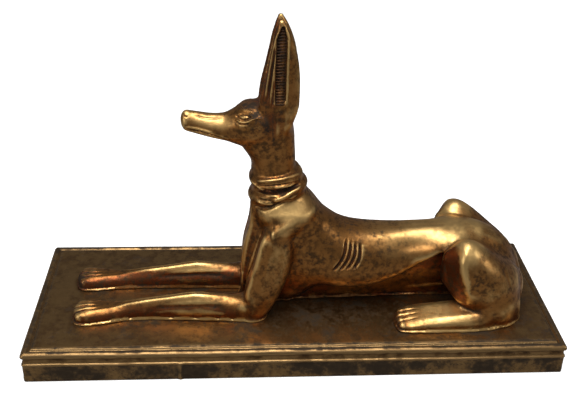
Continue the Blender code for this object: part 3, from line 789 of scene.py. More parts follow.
# %% [markdown]
# ## The slab
#
# The slab is one profile carried round a rectangle with slightly rounded corners: a lip at the top, a groove
# under it, a second smaller lip, a plain face, and a groove on the top inside the rim. The edges of a cheap
# casting are never quite straight, so every loop wanders a little.

# %% Slab profile
slab_low, slab_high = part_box("plinth")
SLAB_LENGTH = slab_high.x - slab_low.x
SLAB_WIDTH = slab_high.y - slab_low.y
SLAB_HEIGHT = slab_high.z
SLAB_CORNER = 0.0014
SMALLEST_CORNER = 0.0002
FIRST_LIP_FOOT = 0.0112
SECOND_LIP_MIDDLE = 0.008
SECOND_LIP_HALF = 0.0006
SECOND_LIP_TOP = 0.0088
SLAB_PROFILE = (
    (0.0008, 0), (0.0005, 0.0001), (0.00042, 0.0005), (0.0004, 0.0015),
    (0.00042, 0.003), (0.00038, 0.005), (0.0004, 0.0066), (0.00038, 0.0071),
    (0.00024, 0.0073), (0.00014, 0.0076), (0.0002, 0.0079), (0.00042, 0.0081),
    (0.0007, 0.00828), (0.00088, 0.00845), (0.00094, 0.0096), (0.00086, 0.0103),
    (0.00055, 0.0108), (0.0001, 0.01105), (0, 0.0114), (0.00008, 0.0118),
    (0.0003, 0.0122), (0.0006, 0.01253), (0.00095, 0.0128), (0.0014, 0.01298),
    (0.002, 0.013), (0.0025, 0.0128), (0.0028, 0.0124), (0.0031, 0.0122),
    (0.0034, 0.0124), (0.0036, 0.0128), (0.0039, 0.01298), (0.0052, 0.013),
)
slab_size = [round(value * 1000, 1) for value in (SLAB_LENGTH, SLAB_WIDTH, SLAB_HEIGHT)]
print("slab:", slab_size, "mm")

# %% Slab mesh
CORNERS = ((1, 1), (-1, 1), (-1, -1), (1, -1))
SIDE_STEPS = (170, 60)
CORNER_STEPS = 5
FIELD_STEPS = 26
FIELD_MIDDLE_GAP = 0.0006


def slab_loop(inside, height):
    """Points round the slab at one height, some way inside its outline; each loop has as many points."""
    length, width = SLAB_LENGTH / 2 - inside, SLAB_WIDTH / 2 - inside
    radius = max(SLAB_CORNER - inside, SMALLEST_CORNER)
    loop = []
    for quarter, (sx, sy) in enumerate(CORNERS):
        corner = Vector((sx * (length - radius), sy * (width - radius), height))
        for k in range(CORNER_STEPS + 1):
            turn = (quarter + k / CORNER_STEPS) * pi / 2
            loop.append(corner + Vector((radius * cos(turn), radius * sin(turn), 0)))
        next_x, next_y = CORNERS[(quarter + 1) % 4]
        next_corner = Vector((next_x * (length - radius), next_y * (width - radius), height))
        turn = (quarter + 1) * pi / 2
        edge = Vector((radius * cos(turn), radius * sin(turn), 0))
        steps = SIDE_STEPS[quarter % 2]
        for k in range(1, steps):
            loop.append((corner + edge).lerp(next_corner + edge, k / steps))
    return loop


rings = [slab_loop(inside, height) for inside, height in SLAB_PROFILE]
field_start = SLAB_PROFILE[-1][0]
field_end = SLAB_WIDTH / 2 - FIELD_MIDDLE_GAP
for k in range(1, FIELD_STEPS + 1):
    rings.append(slab_loop(field_start + (field_end - field_start) * k / FIELD_STEPS, SLAB_HEIGHT))
bm = bmesh.new()
skin(bm, rings)
bmesh.ops.triangulate(bm, faces=[face for face in bm.faces if len(face.verts) > 4])
bmesh.ops.recalc_face_normals(bm, faces=bm.faces)
slab = mesh_object("plinth_casting", bm)
print("slab mesh:", len(slab.data.polygons), "faces")

# %% [markdown]
# The flaws come next. The lips wander by a fifth of a millimetre, the field of the top is not quite level,
# and on the near side a seam of the mould shows as a small upright ridge.

# %% Slab flaws
SEAM_PLACE = -0.0444
SEAM_HALF_WIDTH = 0.00045
SEAM_HEIGHT = 0.00045
WANDER = 0.00014
FIELD_SWELL = 0.00007
NEAR_FACE_DEPTH = 0.001


def from_edge(places):
    """How far inside the slab's outline each place lies."""
    return np.minimum(SLAB_LENGTH / 2 - np.abs(places[:, 0]), SLAB_WIDTH / 2 - np.abs(places[:, 1]))


places = vertex_rows(slab.data, "co")
px, py, pz = places.T
rim_share = fade(0.006, 0.003, from_edge(places))
high = fade(0.006, 0.011, pz)
along_long = np.sin(61 * px + 1.1) + 0.6 * np.sin(143 * px + 4 * np.sign(py)) + 0.35 * np.sin(397 * px)
along_short = np.sin(97 * py + 0.6) + 0.5 * np.sin(241 * py + 2 * np.sign(px))
places[:, 2] += rim_share * high * WANDER * (0.5 * along_long + 0.5 * along_short - 0.9)
near_side = fade(0.004, 0.001, SLAB_WIDTH / 2 - np.abs(py))
near_end = fade(0.004, 0.001, SLAB_LENGTH / 2 - np.abs(px))
places[:, 1] -= np.sign(py) * near_side * WANDER * (0.8 + 0.5 * along_long) * fade(0.001, 0.004, pz)
places[:, 0] -= np.sign(px) * near_end * WANDER * (0.8 + 0.5 * along_short) * fade(0.001, 0.004, pz)
swell = np.sin(171 * px + 90 * py) + np.sin(223 * py - 71 * px)
places[:, 2] += (1 - rim_share) * fade(0.012, 0.0128, pz) * FIELD_SWELL * swell
on_near_face = (py < -SLAB_WIDTH / 2 + NEAR_FACE_DEPTH) & (pz < SECOND_LIP_TOP)
seam = np.exp(-(((px - SEAM_PLACE) / SEAM_HALF_WIDTH) ** 2)) * on_near_face
places[:, 1] -= seam * SEAM_HEIGHT
put_places(slab.data, places)
slab.data.shade_smooth()

# %% [markdown]
# ## Where the paint wears, where the grime stays and where shade is painted
#
# Rubbed paint follows the form: edges and crests are polished, grooves keep the dark patina. Both are
# measured on the mesh itself. A copy of it is smoothed over and over; where the smoothed skin lies outside
# the real one, the place is hollow, and where it lies inside, the place is proud. Rays sent from each point
# tell how much of the sky is shut out, which finds the deep places under the belly and between the legs.
# That share is painted shade: the paint darkens and reddens by it, to look like shade with warm light
# bounced in from the bronze round it.


# %% Measuring hollows, crests and shade
RAY_START = 0.0002
RAY_SPREAD = 0.95
RAY_SEED = 11


def shut_out(mesh, trees, reach, rays):
    """How much of the sky above each vertex is shut out within the reach: 0 is open and 1 is closed."""
    random = np.random.default_rng(RAY_SEED)
    starts = vertex_rows(mesh, "co")
    ups = vertex_rows(mesh, "normal")
    blocked = np.zeros(len(starts))
    origins = (starts + ups * RAY_START).tolist()
    for _ in range(rays):
        aside = random.normal(size=starts.shape)
        aside /= np.linalg.norm(aside, axis=1)[:, None]
        ways = (ups + RAY_SPREAD * aside).tolist()
        for k, (origin, way) in enumerate(zip(origins, ways)):
            for tree in trees:
                if tree.ray_cast(origin, way, reach)[0] is not None:
                    blocked[k] += 1
                    break
    return blocked / rays


def add_attribute(mesh, name, values):
    """Stores one number for each vertex, which a material can read by its name."""
    made = mesh.attributes.new(name, "FLOAT", "POINT")
    made.data.foreach_set("value", np.clip(values, 0, 1).astype(np.float32))


def change_attribute(mesh, name, by):
    """Raises or lowers an attribute that the mesh has."""
    made = mesh.attributes[name]
    values = np.empty(len(mesh.vertices), np.float32)
    made.data.foreach_get("value", values)
    made.data.foreach_set("value", np.clip(values + by, 0, 1).astype(np.float32))


# %% Reading both castings
CREST_DEPTH = 0.00012
FORM_DEPTH = 0.0008
SKY_REACH = 0.02
SHADE_SPREADS = 4


def measure_wear_and_shade(made, trees, rays, fine_times, broad_times):
    """Gives the piece its hollow, crest and shade attributes, and returns the places for further painting."""
    mesh = made.data
    starts = vertex_rows(mesh, "co")
    ups = vertex_rows(mesh, "normal")
    ends = mesh_edges(mesh)
    count = len(starts)
    smoothed = spread(starts, ends, count, fine_times)
    fine = ((smoothed - starts) * ups).sum(1)
    broad = ((spread(smoothed, ends, count, broad_times) - starts) * ups).sum(1)
    shade = spread(shut_out(mesh, trees, SKY_REACH, rays)[:, None], ends, count, SHADE_SPREADS)[:, 0]
    hollow = 0.9 * fade(0.1, 1.4, fine / CREST_DEPTH) + 0.35 * fade(0.2, 2.2, broad / FORM_DEPTH)
    crest = 0.9 * fade(0.1, 1.4, -fine / CREST_DEPTH) + 0.3 * fade(0.2, 2.4, -broad / FORM_DEPTH)
    add_attribute(mesh, "hollow", hollow)
    add_attribute(mesh, "crest", crest)
    add_attribute(mesh, "shade", shade)
    print(made.name, "hollow", round(float(np.clip(hollow, 0, 1).mean()), 3), "crest",
          round(float(np.clip(crest, 0, 1).mean()), 3), "shade", round(float(shade.mean()), 3))
    return starts, ups


def search_tree(made):
    """A tree that rays can be tested against."""
    faces = [list(face.vertices) for face in made.data.polygons]
    return BVHTree.FromPolygons([vertex.co for vertex in made.data.vertices], faces)


trees = (search_tree(jackal), search_tree(slab))
# The shade attribute is painted shade; on the slab only the figure is tested, so there it is the figure's
# shade
SKY_RAYS = 7
jackal_places, jackal_ups = measure_wear_and_shade(jackal, trees, SKY_RAYS, fine_times=10, broad_times=60)
slab_places, slab_ups = measure_wear_and_shade(slab, trees[:1], SKY_RAYS, fine_times=2, broad_times=8)

# %% [markdown]
# Patina also gathers in patches of no form: beside the eye, on the upper arm, on the flank, and on every
# surface that faces up, where no rag reaches into the pores. The patches are soft ovals in the side view,
# and the paint's own noise breaks up their edges. On the muzzle, the cheek, the neck, the shoulder, the back,
# the flank, the hips, the thigh and the tops of the legs, ovals of painted highlight are added to the crests
# in
# the same way: gold laid on the parts that face up, where the overhead light shines. A few of those ovals are
# below zero: there the metal is duller than its form would make it.

# %% Patches of patina
PATCHES = (
    ((-13.6, 77.4), (3.4, 2.8), 1.4),
    ((-7, 75.6), (2.6, 2.4), 0.6),
    ((-6, 33), (4.2, 1.8), 0.9),
    ((-18, 74), (2.2, 1.6), 0.45),
    ((-9.3, 116), (3, 3.4), 0.9),
    ((35.5, 27), (5, 2), 0.5),
    ((44, 29.5), (3.6, 1.6), 0.6),
    ((66, 24), (1.6, 2), 0.35),
    ((70, 14), (3, 1.6), 0.5),
    ((9, 25), (5, 5), 0.25),
    ((2, 24), (1.6, 6), 0.5),
    ((-20, 68), (1.6, 3), 0.3),
    ((-87, 2.4), (3, 2.6), 1.2),
    ((38.6, 2), (2.4, 2.2), 1.2),
    ((82, 8), (4, 3), 0.6),
    ((-11, 45.4), (4, 1.4), 0.7),
    ((-11, 96), (2.6, 14), 0.35),
    ((-7, 98), (1.6, 14), 0.8),
    ((20, 24), (12, 7), 0.3),
    ((74, 22), (10, 8), 0.3),
    ((-9, 22), (5, 14), 0.35),
)
HIGHLIGHTS_AND_DULL_SPOTS = (
    ((-31, 77.5), (9, 3.4), 0.6),
    ((-3, 45), (9, 4), 0.9),
    ((52, 31), (16, 3), 0.6),
    ((61, 35), (7, 3), 0.5),
    ((57, 5), (14, 3), 0.6),
    ((64, 26), (3, 9), 0.5),
    ((72, 33), (1.8, 3), 0.5),
    ((-48, 8), (30, 3), 0.4),
    ((22, 31), (12, 3), 0.3),
    ((-14.5, 82), (3.6, 1.8), -0.7),
    ((-9.3, 116), (3, 3.4), -0.6),
    ((20, 25), (7, 8), -0.6),
    ((38, 22), (12, 7), 0.35),
    ((-42, 79), (2, 3), -0.3),
    ((-9, 66), (4, 8), 0.35),
    ((-19, 75.5), (4, 2.6), 0.55),
)
on_grid = (jackal_places - FIGURE_PLACE) / SQUARE
gx, gy, gz = on_grid.T
grid_side = on_grid[:, [0, 2]]
faces_sky = jackal_ups[:, 2]
patch = np.zeros(len(on_grid))
for centre, reach, strength in PATCHES:
    patch = np.maximum(patch, strength * mound(grid_side, centre, reach))
on_level = fade(0.72, 0.97, faces_sky) * (1 - fade(12, 8, gz)) * fade(48, 34, gx)
on_crown = fade(79, 82, gz) * fade(88, 86, gz) * fade(0.35, 0.75, faces_sky) * fade(-22, -19, gx)
patch = np.maximum(patch, np.maximum(0.7 * on_level, 1.1 * on_crown))
add_attribute(jackal.data, "patch", patch)

# Painted highlights: ovals above zero add gold only on parts that face up to the overhead light
highlights_and_dull_spots = np.zeros(len(on_grid))
for centre, reach, strength in HIGHLIGHTS_AND_DULL_SPOTS:
    share = mound(grid_side, centre, reach)
    highlights_and_dull_spots += strength * (share * fade(0.2, 0.5, faces_sky) if strength > 0 else share)
# Painted shade: the lip under the body, shaded by the belly, is made darker, redder and less golden
flange_shade = fade(1.6, 0.8, gz) * fade(-12, -6, gx) * fade(13, 10, np.abs(gy))
# Painted reflection: less shade under the belly, so it turns lighter and orange, as if lit from the slab
under_belly_bounce = fade(15, 11, gz) * fade(12, 20, gx) * fade(13.6, 12.6, np.abs(gy))
# Painted shade: the cut-back front of the thigh, turned from the light, is darker, redder and less golden
thigh_front_shade = fade(0, 2.5, thigh_edge_at(on_grid) - gx) * fade(13, 15, np.abs(gy))
thigh_front_shade *= fade(54, 57, gx) * fade(10, 13, gz)
on_ears = 0.4 * fade(82, 88, gz) * fade(-6, -8, gx)
on_ears = np.maximum(on_ears, 0.4 * mound(grid_side, (-9.5, 79), (4.5, 7)))
# Painted reflection: the low sides of the forelegs turn redder and less golden, for light bounced off the
# slab
low_sides_warm_bounce = fade(8, 4, gz) * fade(-20, -26, gx) * fade(0.9, 0.6, faces_sky)
paw_ends = np.maximum(fade(-84.5, -87, gx), fade(41, 39.5, gx) * fade(34, 36, gx)) * fade(7, 5, gz)
# Painted shade: the far foreleg's side facing the near one is made darker, redder and less golden
far_leg_shade = fade(-20, -26, gx) * fade(0, -0.4, jackal_ups[:, 1]) * fade(7, 5.5, gz) * (gy > 0)
duller = 0.7 * flange_shade + 0.5 * thigh_front_shade + 0.5 * on_ears + 0.2 * low_sides_warm_bounce + 0.7 * paw_ends + 0.4 * far_leg_shade
change_attribute(jackal.data, "crest", highlights_and_dull_spots - duller)
redder = 0.6 * thigh_front_shade + 0.5 * flange_shade + on_ears + 0.3 * (low_sides_warm_bounce + far_leg_shade) - 0.35 * under_belly_bounce
change_attribute(jackal.data, "shade", redder)

# %% [markdown]
# On the slab, the upright faces of the two lips are rubbed bright. The field and the top of the rim are dull,
# and patina clings to the plain face below the lips.

# %% Dull and bright parts of the slab
height = slab_places[:, 2]
slab_top = fade(0.6, 0.9, slab_ups[:, 2])
slab_side = fade(0.5, 0.8, np.abs(slab_ups[:, 1]) + np.abs(slab_ups[:, 0])) * fade(0.0076, 0.0068, height)
to_edge = from_edge(slab_places)
rim_top = fade(0.001, 0.0013, to_edge) * fade(0.0048, 0.0042, to_edge) * slab_top
add_attribute(slab.data, "patch", 0.35 * slab_top + 0.85 * slab_side + 0.4 * rim_top)
change_attribute(slab.data, "hollow", 0.6 * rim_top + 0.35 * slab_side)
second_lip = np.exp(-(((height - SECOND_LIP_MIDDLE) / SECOND_LIP_HALF) ** 2))
first_lip = fade(FIRST_LIP_FOOT, FIRST_LIP_FOOT + 0.0004, height)
on_lips = fade(0.97, 0.85, np.abs(slab_ups[:, 2])) * np.maximum(second_lip, first_lip)
change_attribute(slab.data, "crest", 1.2 * on_lips - 0.8 * slab_top - 1.5 * rim_top)

# %% [markdown]
# ## Bronze paint
#
# One shader group paints both castings. It mixes five colours: bronze as the ground, a copper red that is
# painted shade and warm bounced light where the shade attribute is high and varies with clouds, a dull
# tarnish in clouds, gold on the crests, and patina over the lot, whose mask also takes in painted shade. The
# masks come from the attributes, broken up by noise at several sizes, so no edge is a clean line. The group
# gives colours and numbers only; the shader stays outside it.


# %% Helpers for node trees
def add_node(tree, kind, inputs=None, **settings):
    """Adds a node with its settings, and gives each named input a value or a link."""
    made = tree.nodes.new(kind)
    for name, value in settings.items():
        setattr(made, name, value)
    for name, value in (inputs or {}).items():
        if isinstance(value, bpy.types.NodeSocket):
            tree.links.new(value, made.inputs[name])
        else:
            made.inputs[name].default_value = value
    return made


def calc(tree, operation, a, b):
    """One sum on two numbers."""
    return add_node(tree, "ShaderNodeMath", {0: a, 1: b}, operation=operation).outputs[0]


def total(tree, *parts):
    """The sum of values, each times its weight."""
    products = [calc(tree, "MULTIPLY", value, weight) for value, weight in parts]
    so_far = products[0]
    for product in products[1:]:
        so_far = calc(tree, "ADD", so_far, product)
    return so_far


def graded(tree, value, low, high, to_low=0.0, to_high=1.0):
    """A smooth change from one result to the other while the value goes from low to high."""
    inputs = {"Value": value, "From Min": low, "From Max": high, "To Min": to_low, "To Max": to_high}
    return add_node(tree, "ShaderNodeMapRange", inputs, interpolation_type="SMOOTHSTEP").outputs["Result"]


def mixed(tree, share, first, second):
    """One colour over another, by the share."""
    return add_node(tree, "ShaderNodeMix", {0: share, 6: first, 7: second}, data_type="RGBA").outputs[2]


def noise(tree, place, scale, detail=3.0, roughness=0.55):
    """Cloudy noise, in clouds of about one over the scale, in metres."""
    inputs = {"Vector": place, "Scale": scale, "Detail": detail, "Roughness": roughness}
    return add_node(tree, "ShaderNodeTexNoise", inputs).outputs["Fac"]


def new_tree(name, tree_kind, inputs, outputs):
    """A node tree with its sockets: each has a name and a kind, and some inputs have a default value."""
    tree = bpy.data.node_groups.new(name, tree_kind)
    for in_out, sockets in (("INPUT", inputs), ("OUTPUT", outputs)):
        for label, kind, *default in sockets:
            socket = tree.interface.new_socket(label, in_out=in_out, socket_type="NodeSocket" + kind)
            if default:
                socket.default_value = default[0]
    return tree


# %% The paint group
paint = new_tree("rubbed bronze paint", "ShaderNodeTree", (
    ("Ground", "Color", (0.43, 0.19, 0.052, 1)),
    ("Gold", "Color", (0.88, 0.56, 0.21, 1)),
    ("Copper", "Color", (0.27, 0.075, 0.024, 1)),
    ("Patina", "Color", (0.034, 0.021, 0.012, 1)),
    ("Tarnish", "Color", (0.12, 0.062, 0.024, 1)),
    ("Hollow", "Float", 0.0),
    ("Crest", "Float", 0.0),
    ("Shade", "Float", 0.0),
    ("Patch", "Float", 0.0),
    ("Cloud Scale", "Float", 140.0),
    ("Speck Scale", "Float", 1500.0),
    ("Wear", "Float", 0.5),
    ("Grime", "Float", 0.5),
), (("Colour", "Color"), ("Roughness", "Float"), ("Metallic", "Float"), ("Height", "Float")))

given = add_node(paint, "NodeGroupInput").outputs
place = add_node(paint, "ShaderNodeTexCoord").outputs["Object"]
clouds = noise(paint, place, given["Cloud Scale"], 5.0, 0.62)
specks = noise(paint, place, given["Speck Scale"], 3.0, 0.7)
streaks = noise(paint, place, calc(paint, "MULTIPLY", given["Cloud Scale"], 3.7), 4.0, 0.6)
loose = total(paint, (clouds, 0.6), (streaks, 0.4))

# Patina in hollows plus painted shade, patches where the clouds are thick, specks at the edges of both
dark = total(
    paint,
    (given["Hollow"], 0.75),
    (given["Shade"], 0.55),
    (given["Patch"], graded(paint, loose, 0.34, 0.62)),
    (given["Grime"], graded(paint, loose, 0.5, 0.68)),
    (calc(paint, "SUBTRACT", specks, 0.5), 0.9),
    (given["Grime"], graded(paint, specks, 0.58, 0.7)),
    (given["Crest"], -0.7),
)
patina_and_shade = graded(paint, dark, 0.15, 1.05)

# Gold: crests, with the painted highlights added to them, helped by thin clouds
bright = total(paint, (given["Crest"], given["Wear"]), (calc(paint, "SUBTRACT", 0.52, loose), 0.8))
gilding = graded(paint, bright, 0.05, 0.75)

# Copper red as painted shade and bounce, helped by clouds; tarnish where clouds and streaks are both thick
copper_and_shade = graded(paint, total(paint, (given["Shade"], 1.0), (clouds, 0.5)), 0.3, 0.8)
tarnish = calc(paint, "MULTIPLY", graded(paint, streaks, 0.38, 0.62), graded(paint, clouds, 0.32, 0.56))

colour = mixed(paint, copper_and_shade, given["Ground"], given["Copper"])
colour = mixed(paint, calc(paint, "MULTIPLY", tarnish, 0.9), colour, given["Tarnish"])
colour = mixed(paint, gilding, colour, given["Gold"])
colour = mixed(paint, calc(paint, "MULTIPLY", patina_and_shade, 0.92), colour, given["Patina"])
dullness = graded(paint, patina_and_shade, 0, 1, 0.26, 0.5)
add_node(paint, "NodeGroupOutput", {
    "Colour": colour,
    "Roughness": total(paint, (dullness, 1.0), (tarnish, 0.14), (specks, 0.14)),
    "Metallic": graded(paint, patina_and_shade, 0, 1, 0.96, 0.6),
    "Height": total(paint, (specks, 0.35), (patina_and_shade, -0.3), (streaks, 0.5)),
})


# %% Materials
GRAIN_STRENGTH = 0.6


def bronze(name, grain, **settings):
    """A material that places the paint group, feeds it the measured attributes and adds the grain."""
    material = bpy.data.materials.new(name)
    material.use_nodes = True
    tree = material.node_tree
    shader = tree.nodes["Principled BSDF"]
    inputs = {}
    for attribute in ("hollow", "crest", "shade", "patch"):
        measured = add_node(tree, "ShaderNodeAttribute", attribute_name=attribute)
        inputs[attribute.title()] = measured.outputs["Fac"]
    inputs.update({key.replace("_", " "): value for key, value in settings.items()})
    group = add_node(tree, "ShaderNodeGroup", inputs, node_tree=paint)
    grain_inputs = {"Height": group.outputs["Height"], "Distance": grain, "Strength": GRAIN_STRENGTH}
    bump = add_node(tree, "ShaderNodeBump", grain_inputs)
    tree.links.new(bump.outputs["Normal"], shader.inputs["Normal"])
    for output, name in (("Colour", "Base Color"), ("Roughness", "Roughness"), ("Metallic", "Metallic")):
        tree.links.new(group.outputs[output], shader.inputs[name])
    return material


figure_bronze = bronze("figure bronze", 0.00012, Wear=0.8, Grime=0.4)
slab_bronze = bronze("plinth bronze", 0.00016, Ground=(0.35, 0.205, 0.08, 1), Gold=(0.42, 0.26, 0.11, 1),
                     Copper=(0.2, 0.1, 0.035, 1), Patina=(0.05, 0.033, 0.018, 1), Cloud_Scale=70.0,
                     Speck_Scale=900.0, Wear=0.6, Grime=0.45)
for piece, material in ((jackal, figure_bronze), (slab, slab_bronze)):
    piece.data.materials.clear()
    piece.data.materials.append(material)

# %% [markdown]
# ## Ribs in the ears
#
# The panel of each ear is filled with fine level ribs, one to a millimetre. They repeat along a path, so
# Geometry Nodes place them: the path up the middle of the panel is cut into equal steps, and a small round
# bar as wide as the panel is put on each. The width travels with the path as an attribute.

# %% The paths up the ears
RIB_PITCH = 1.02
RIB_THICKNESS = 0.00028
RIB_PROUD = 0.00008
RIB_SHARE = 0.92
PATH_FOOT = 86.6
PATH_TOP = 112.2
PATH_POINTS = 24


def panel_path(side):
    """Places up the middle of one ear's panel, on its surface, and the panel's half width at each."""
    path, halves = [], []
    for height in np.linspace(PATH_FOOT, PATH_TOP, PATH_POINTS):
        share = (height - PANEL_FOOT) / (PANEL_TOP - PANEL_FOOT)
        middle = float(np.interp(share, PANEL_SHARES, PANEL_MIDDLE))
        outside_place = Vector((middle, side * 20, height)) * SQUARE + Vector(FIGURE_PLACE)
        hit = trees[0].ray_cast(outside_place, Vector((0, -side, 0)))[0]
        path.append(hit + Vector((0, side * RIB_PROUD, 0)))
        halves.append(float(np.interp(share, PANEL_SHARES, PANEL_HALF)) * SQUARE * RIB_SHARE)
    return path, halves


bm = bmesh.new()
half_layer = bm.verts.layers.float.new("half")
for side in (-1, 1):
    previous = None
    for place_on_path, half in zip(*panel_path(side)):
        vertex = bm.verts.new(place_on_path)
        vertex[half_layer] = half
        if previous:
            bm.edges.new((previous, vertex))
        previous = vertex
ear_ribs = mesh_object("ear_ribs", bm)

# %% [markdown]
# The ribs and, further down, the beads in the slab's groove are set by two trees of the same kind. Both cut a
# path into steps and put a small part on each, so one function opens such a tree and another one ends it.


# %% Trees that set small parts along a path
def start_tree(name, inputs):
    """A tree that cuts its path into equal steps; returns it, what it is given, and the steps."""
    kinds = (("Geometry", "Geometry"), ("Step", "Float"), ("Material", "Material"), *inputs)
    tree = new_tree(name, "GeometryNodeTree", kinds, (("Geometry", "Geometry"),))
    given = add_node(tree, "NodeGroupInput").outputs
    path = add_node(tree, "GeometryNodeMeshToCurve", {"Mesh": given["Geometry"]})
    cuts = {"Curve": path.outputs["Curve"], "Length": given["Step"]}
    steps = add_node(tree, "GeometryNodeResampleCurve", cuts, mode="LENGTH")
    return tree, given, steps.outputs["Curve"]


def finish_tree(tree, given, inputs):
    """Puts a small part on the points as the inputs say, makes it real and gives it its material."""
    placed = add_node(tree, "GeometryNodeInstanceOnPoints", inputs)
    real = add_node(tree, "GeometryNodeRealizeInstances", {"Geometry": placed.outputs["Instances"]})
    dress = {"Geometry": real.outputs["Geometry"], "Material": given["Material"]}
    painted = add_node(tree, "GeometryNodeSetMaterial", dress)
    add_node(tree, "NodeGroupOutput", {"Geometry": painted.outputs["Geometry"]})


def run_tree(made, tree, values):
    """Puts the tree on the piece with its named values, and keeps the result as a plain mesh."""
    modifier = made.modifiers.new(tree.name, "NODES")
    modifier.node_group = tree
    for item in tree.interface.items_tree:
        if item.item_type == "SOCKET" and item.in_out == "INPUT" and item.name in values:
            modifier[item.identifier] = values[item.name]
    settle(made)
    made.data.shade_smooth()
    print(made.name, len(made.data.polygons), "faces")


# %% Ribs
rib_tree, given, steps = start_tree("ribs along a panel", (("Thickness", "Float"),))
round_bar = {"Vertices": 8, "Side Segments": 2, "Radius": 1.0, "Depth": 2.0}
bar = add_node(rib_tree, "GeometryNodeMeshCylinder", round_bar).outputs["Mesh"]
level_bar = add_node(rib_tree, "GeometryNodeTransform", {"Geometry": bar, "Rotation": (0, pi / 2, 0)})
width = add_node(rib_tree, "GeometryNodeInputNamedAttribute", {"Name": "half"}, data_type="FLOAT")
size = add_node(rib_tree, "ShaderNodeCombineXYZ", {
    "X": width.outputs["Attribute"],
    "Y": given["Thickness"],
    "Z": given["Thickness"],
})
finish_tree(rib_tree, given, {
    "Points": steps,
    "Instance": level_bar.outputs["Geometry"],
    "Scale": size.outputs["Vector"],
})
# Shade=0.4 paints the shade of the sunken panel into the ribs' colour
rib_bronze = bronze("ear rib bronze", 0.00008, Wear=0.6, Grime=0.3,
                    Hollow=0.75, Patch=0.3, Crest=0.2, Shade=0.4)
run_tree(ear_ribs, rib_tree, {"Step": RIB_PITCH * SQUARE, "Thickness": RIB_THICKNESS, "Material": rib_bronze})

# %% [markdown]
# ## Beads in the groove
#
# Air bubbles in the mould have left tiny bright beads along the near groove of the slab. They sit at random
# places and sizes: a path is cut into steps, some are dropped, and each one left gets a small ball. The
# seed is fixed, so every run gives the same beads.

# %% Beads
BEAD_SPACING = 0.0011
BEAD_SMALLEST = 0.0001
BEAD_LARGEST = 0.00024
BEAD_SLIP = 0.0004
BEADS_DROPPED = 0.45
BEAD_SEED = 3
BEAD_RUNS = ((-0.094, -0.03), (0.004, 0.095))
GROOVE_PLACE = 0.0031
GROOVE_DEPTH = 0.0006

bead_tree, given, steps = start_tree("beads along a groove", (
    ("Smallest", "Float"),
    ("Largest", "Float"),
    ("Dropped", "Float"),
    ("Seed", "Int"),
))


def chance(kind, inputs):
    """A random value of one kind for each point of the path, from the given seed."""
    inputs["Seed"] = given["Seed"]
    return add_node(bead_tree, "FunctionNodeRandomValue", inputs, data_type=kind).outputs


slip = chance("FLOAT_VECTOR", {0: (-BEAD_SLIP, -BEAD_SLIP, 0), 1: (BEAD_SLIP, BEAD_SLIP, 0)})[0]
loose_points = add_node(bead_tree, "GeometryNodeSetPosition", {"Geometry": steps, "Offset": slip})
dropped = chance("BOOLEAN", {"Probability": given["Dropped"]})[3]
ball = add_node(bead_tree, "GeometryNodeMeshIcoSphere", {"Radius": 1.0, "Subdivisions": 2})
finish_tree(bead_tree, given, {
    "Points": loose_points.outputs["Geometry"],
    "Selection": calc(bead_tree, "SUBTRACT", 1.0, dropped),
    "Instance": ball.outputs["Mesh"],
    "Scale": chance("FLOAT", {2: given["Smallest"], 3: given["Largest"]})[1],
})

bm = bmesh.new()
groove_y = -SLAB_WIDTH / 2 + GROOVE_PLACE
for run in BEAD_RUNS:
    bm.edges.new([bm.verts.new((across, groove_y, SLAB_HEIGHT - GROOVE_DEPTH)) for across in run])
beads = mesh_object("groove_beads", bm)
bead_bronze = bronze("bead bronze", 0.00005, Gold=(0.8, 0.62, 0.32, 1), Wear=1.0, Grime=0.0,
                     Hollow=0.0, Patch=0.3, Crest=0.6, Shade=0.0)
run_tree(beads, bead_tree, {"Step": BEAD_SPACING, "Smallest": BEAD_SMALLEST, "Largest": BEAD_LARGEST,
                            "Dropped": BEADS_DROPPED, "Seed": BEAD_SEED, "Material": bead_bronze})

# %% [markdown]
# ## Floor and light
#
# The figure was shot from above the front against white. One large soft light hangs over it, so surfaces
# that tilt towards the viewer catch a bright band, and upright faces stay dark; two weak ones fill in from
# the sides. A metal shows what stands round it: in a white room it would look white. So floor and background
# are white to the camera alone, and dim to the rays that light or mirror in the bronze, which the Light Path
# node tells apart.


# %% White to the camera, dim to everything else
def seen_or_felt(tree, seen, felt):
    """The colour that the camera sees, and another one for all the other rays."""
    camera_ray = add_node(tree, "ShaderNodeLightPath").outputs["Is Camera Ray"]
    return mixed(tree, camera_ray, felt, seen)


# %% Floor
FLOOR_HALF = 4.0
FLOOR_HEIGHT = -0.0002
FLOOR_WHITE = (0.8, 0.8, 0.8, 1)
FLOOR_DIM = (0.3, 0.3, 0.3, 1)
BLACK = (0, 0, 0, 1)
ROOM_WHITE = (1, 1, 1, 1)
ROOM_DIM = (0.13, 0.13, 0.135, 1)

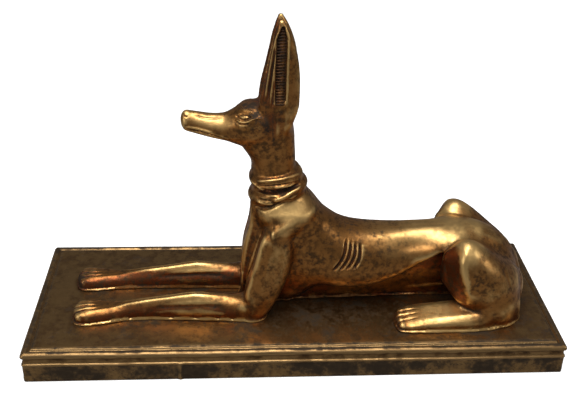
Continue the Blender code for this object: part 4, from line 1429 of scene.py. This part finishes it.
bm = bmesh.new()
bm.faces.new([bm.verts.new((sx * FLOOR_HALF, sy * FLOOR_HALF, FLOOR_HEIGHT)) for sx, sy in CORNERS])
floor = mesh_object("floor", bm)
pale = bpy.data.materials.new("pale floor")
pale.use_nodes = True
pale_shader = pale.node_tree.nodes["Principled BSDF"]
pale_shader.inputs["Roughness"].default_value = 1.0
pale_shader.inputs["Specular IOR Level"].default_value = 0.0
pale_shader.inputs["Emission Strength"].default_value = 1.0
floor_colour = seen_or_felt(pale.node_tree, FLOOR_WHITE, FLOOR_DIM)
floor_glow = seen_or_felt(pale.node_tree, FLOOR_WHITE, BLACK)
pale.node_tree.links.new(floor_colour, pale_shader.inputs["Base Color"])
pale.node_tree.links.new(floor_glow, pale_shader.inputs["Emission Color"])
floor.data.materials.append(pale)


# %% Lights
def soft_light(name, place, target, size, power):
    """A square area light that looks at the target."""
    lamp = bpy.data.lights.new(name, "AREA")
    lamp.size = size
    lamp.energy = power
    made = bpy.data.objects.new(name, lamp)
    made.location = place
    made.rotation_mode = "QUATERNION"
    made.rotation_quaternion = (Vector(target) - Vector(place)).to_track_quat("-Z", "Y")
    bpy.context.scene.collection.objects.link(made)


soft_light("overhead softbox", (-0.03, -0.14, 0.6), (0, 0, 0.03), 0.45, 3.1)
soft_light("left fill", (-0.7, -0.4, 0.35), (0, 0, 0.04), 0.35, 0.8)
soft_light("right fill", (0.7, -0.3, 0.4), (0, 0, 0.04), 0.3, 0.6)
world = bpy.data.worlds.new("studio")
world.use_nodes = True
backdrop = world.node_tree.nodes["Background"]
room = seen_or_felt(world.node_tree, ROOM_WHITE, ROOM_DIM)
world.node_tree.links.new(room, backdrop.inputs["Color"])
backdrop.inputs["Strength"].default_value = 1.0
bpy.context.scene.world = world
bpy.context.scene.view_settings.view_transform = "Standard"
bpy.context.scene.view_settings.look = "None"

# %% [markdown]
# ## Handing the pieces to the frame
#
# Each casting replaces its plain solid. All four pieces ride on the one rigid body of the model.

# %% Pieces and finish
for piece, slot in ((jackal, "figure"), (ear_ribs, "figure"), (slab, "plinth"), (beads, "plinth")):
    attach(piece, "root")
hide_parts("jackal")
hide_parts("plinth")
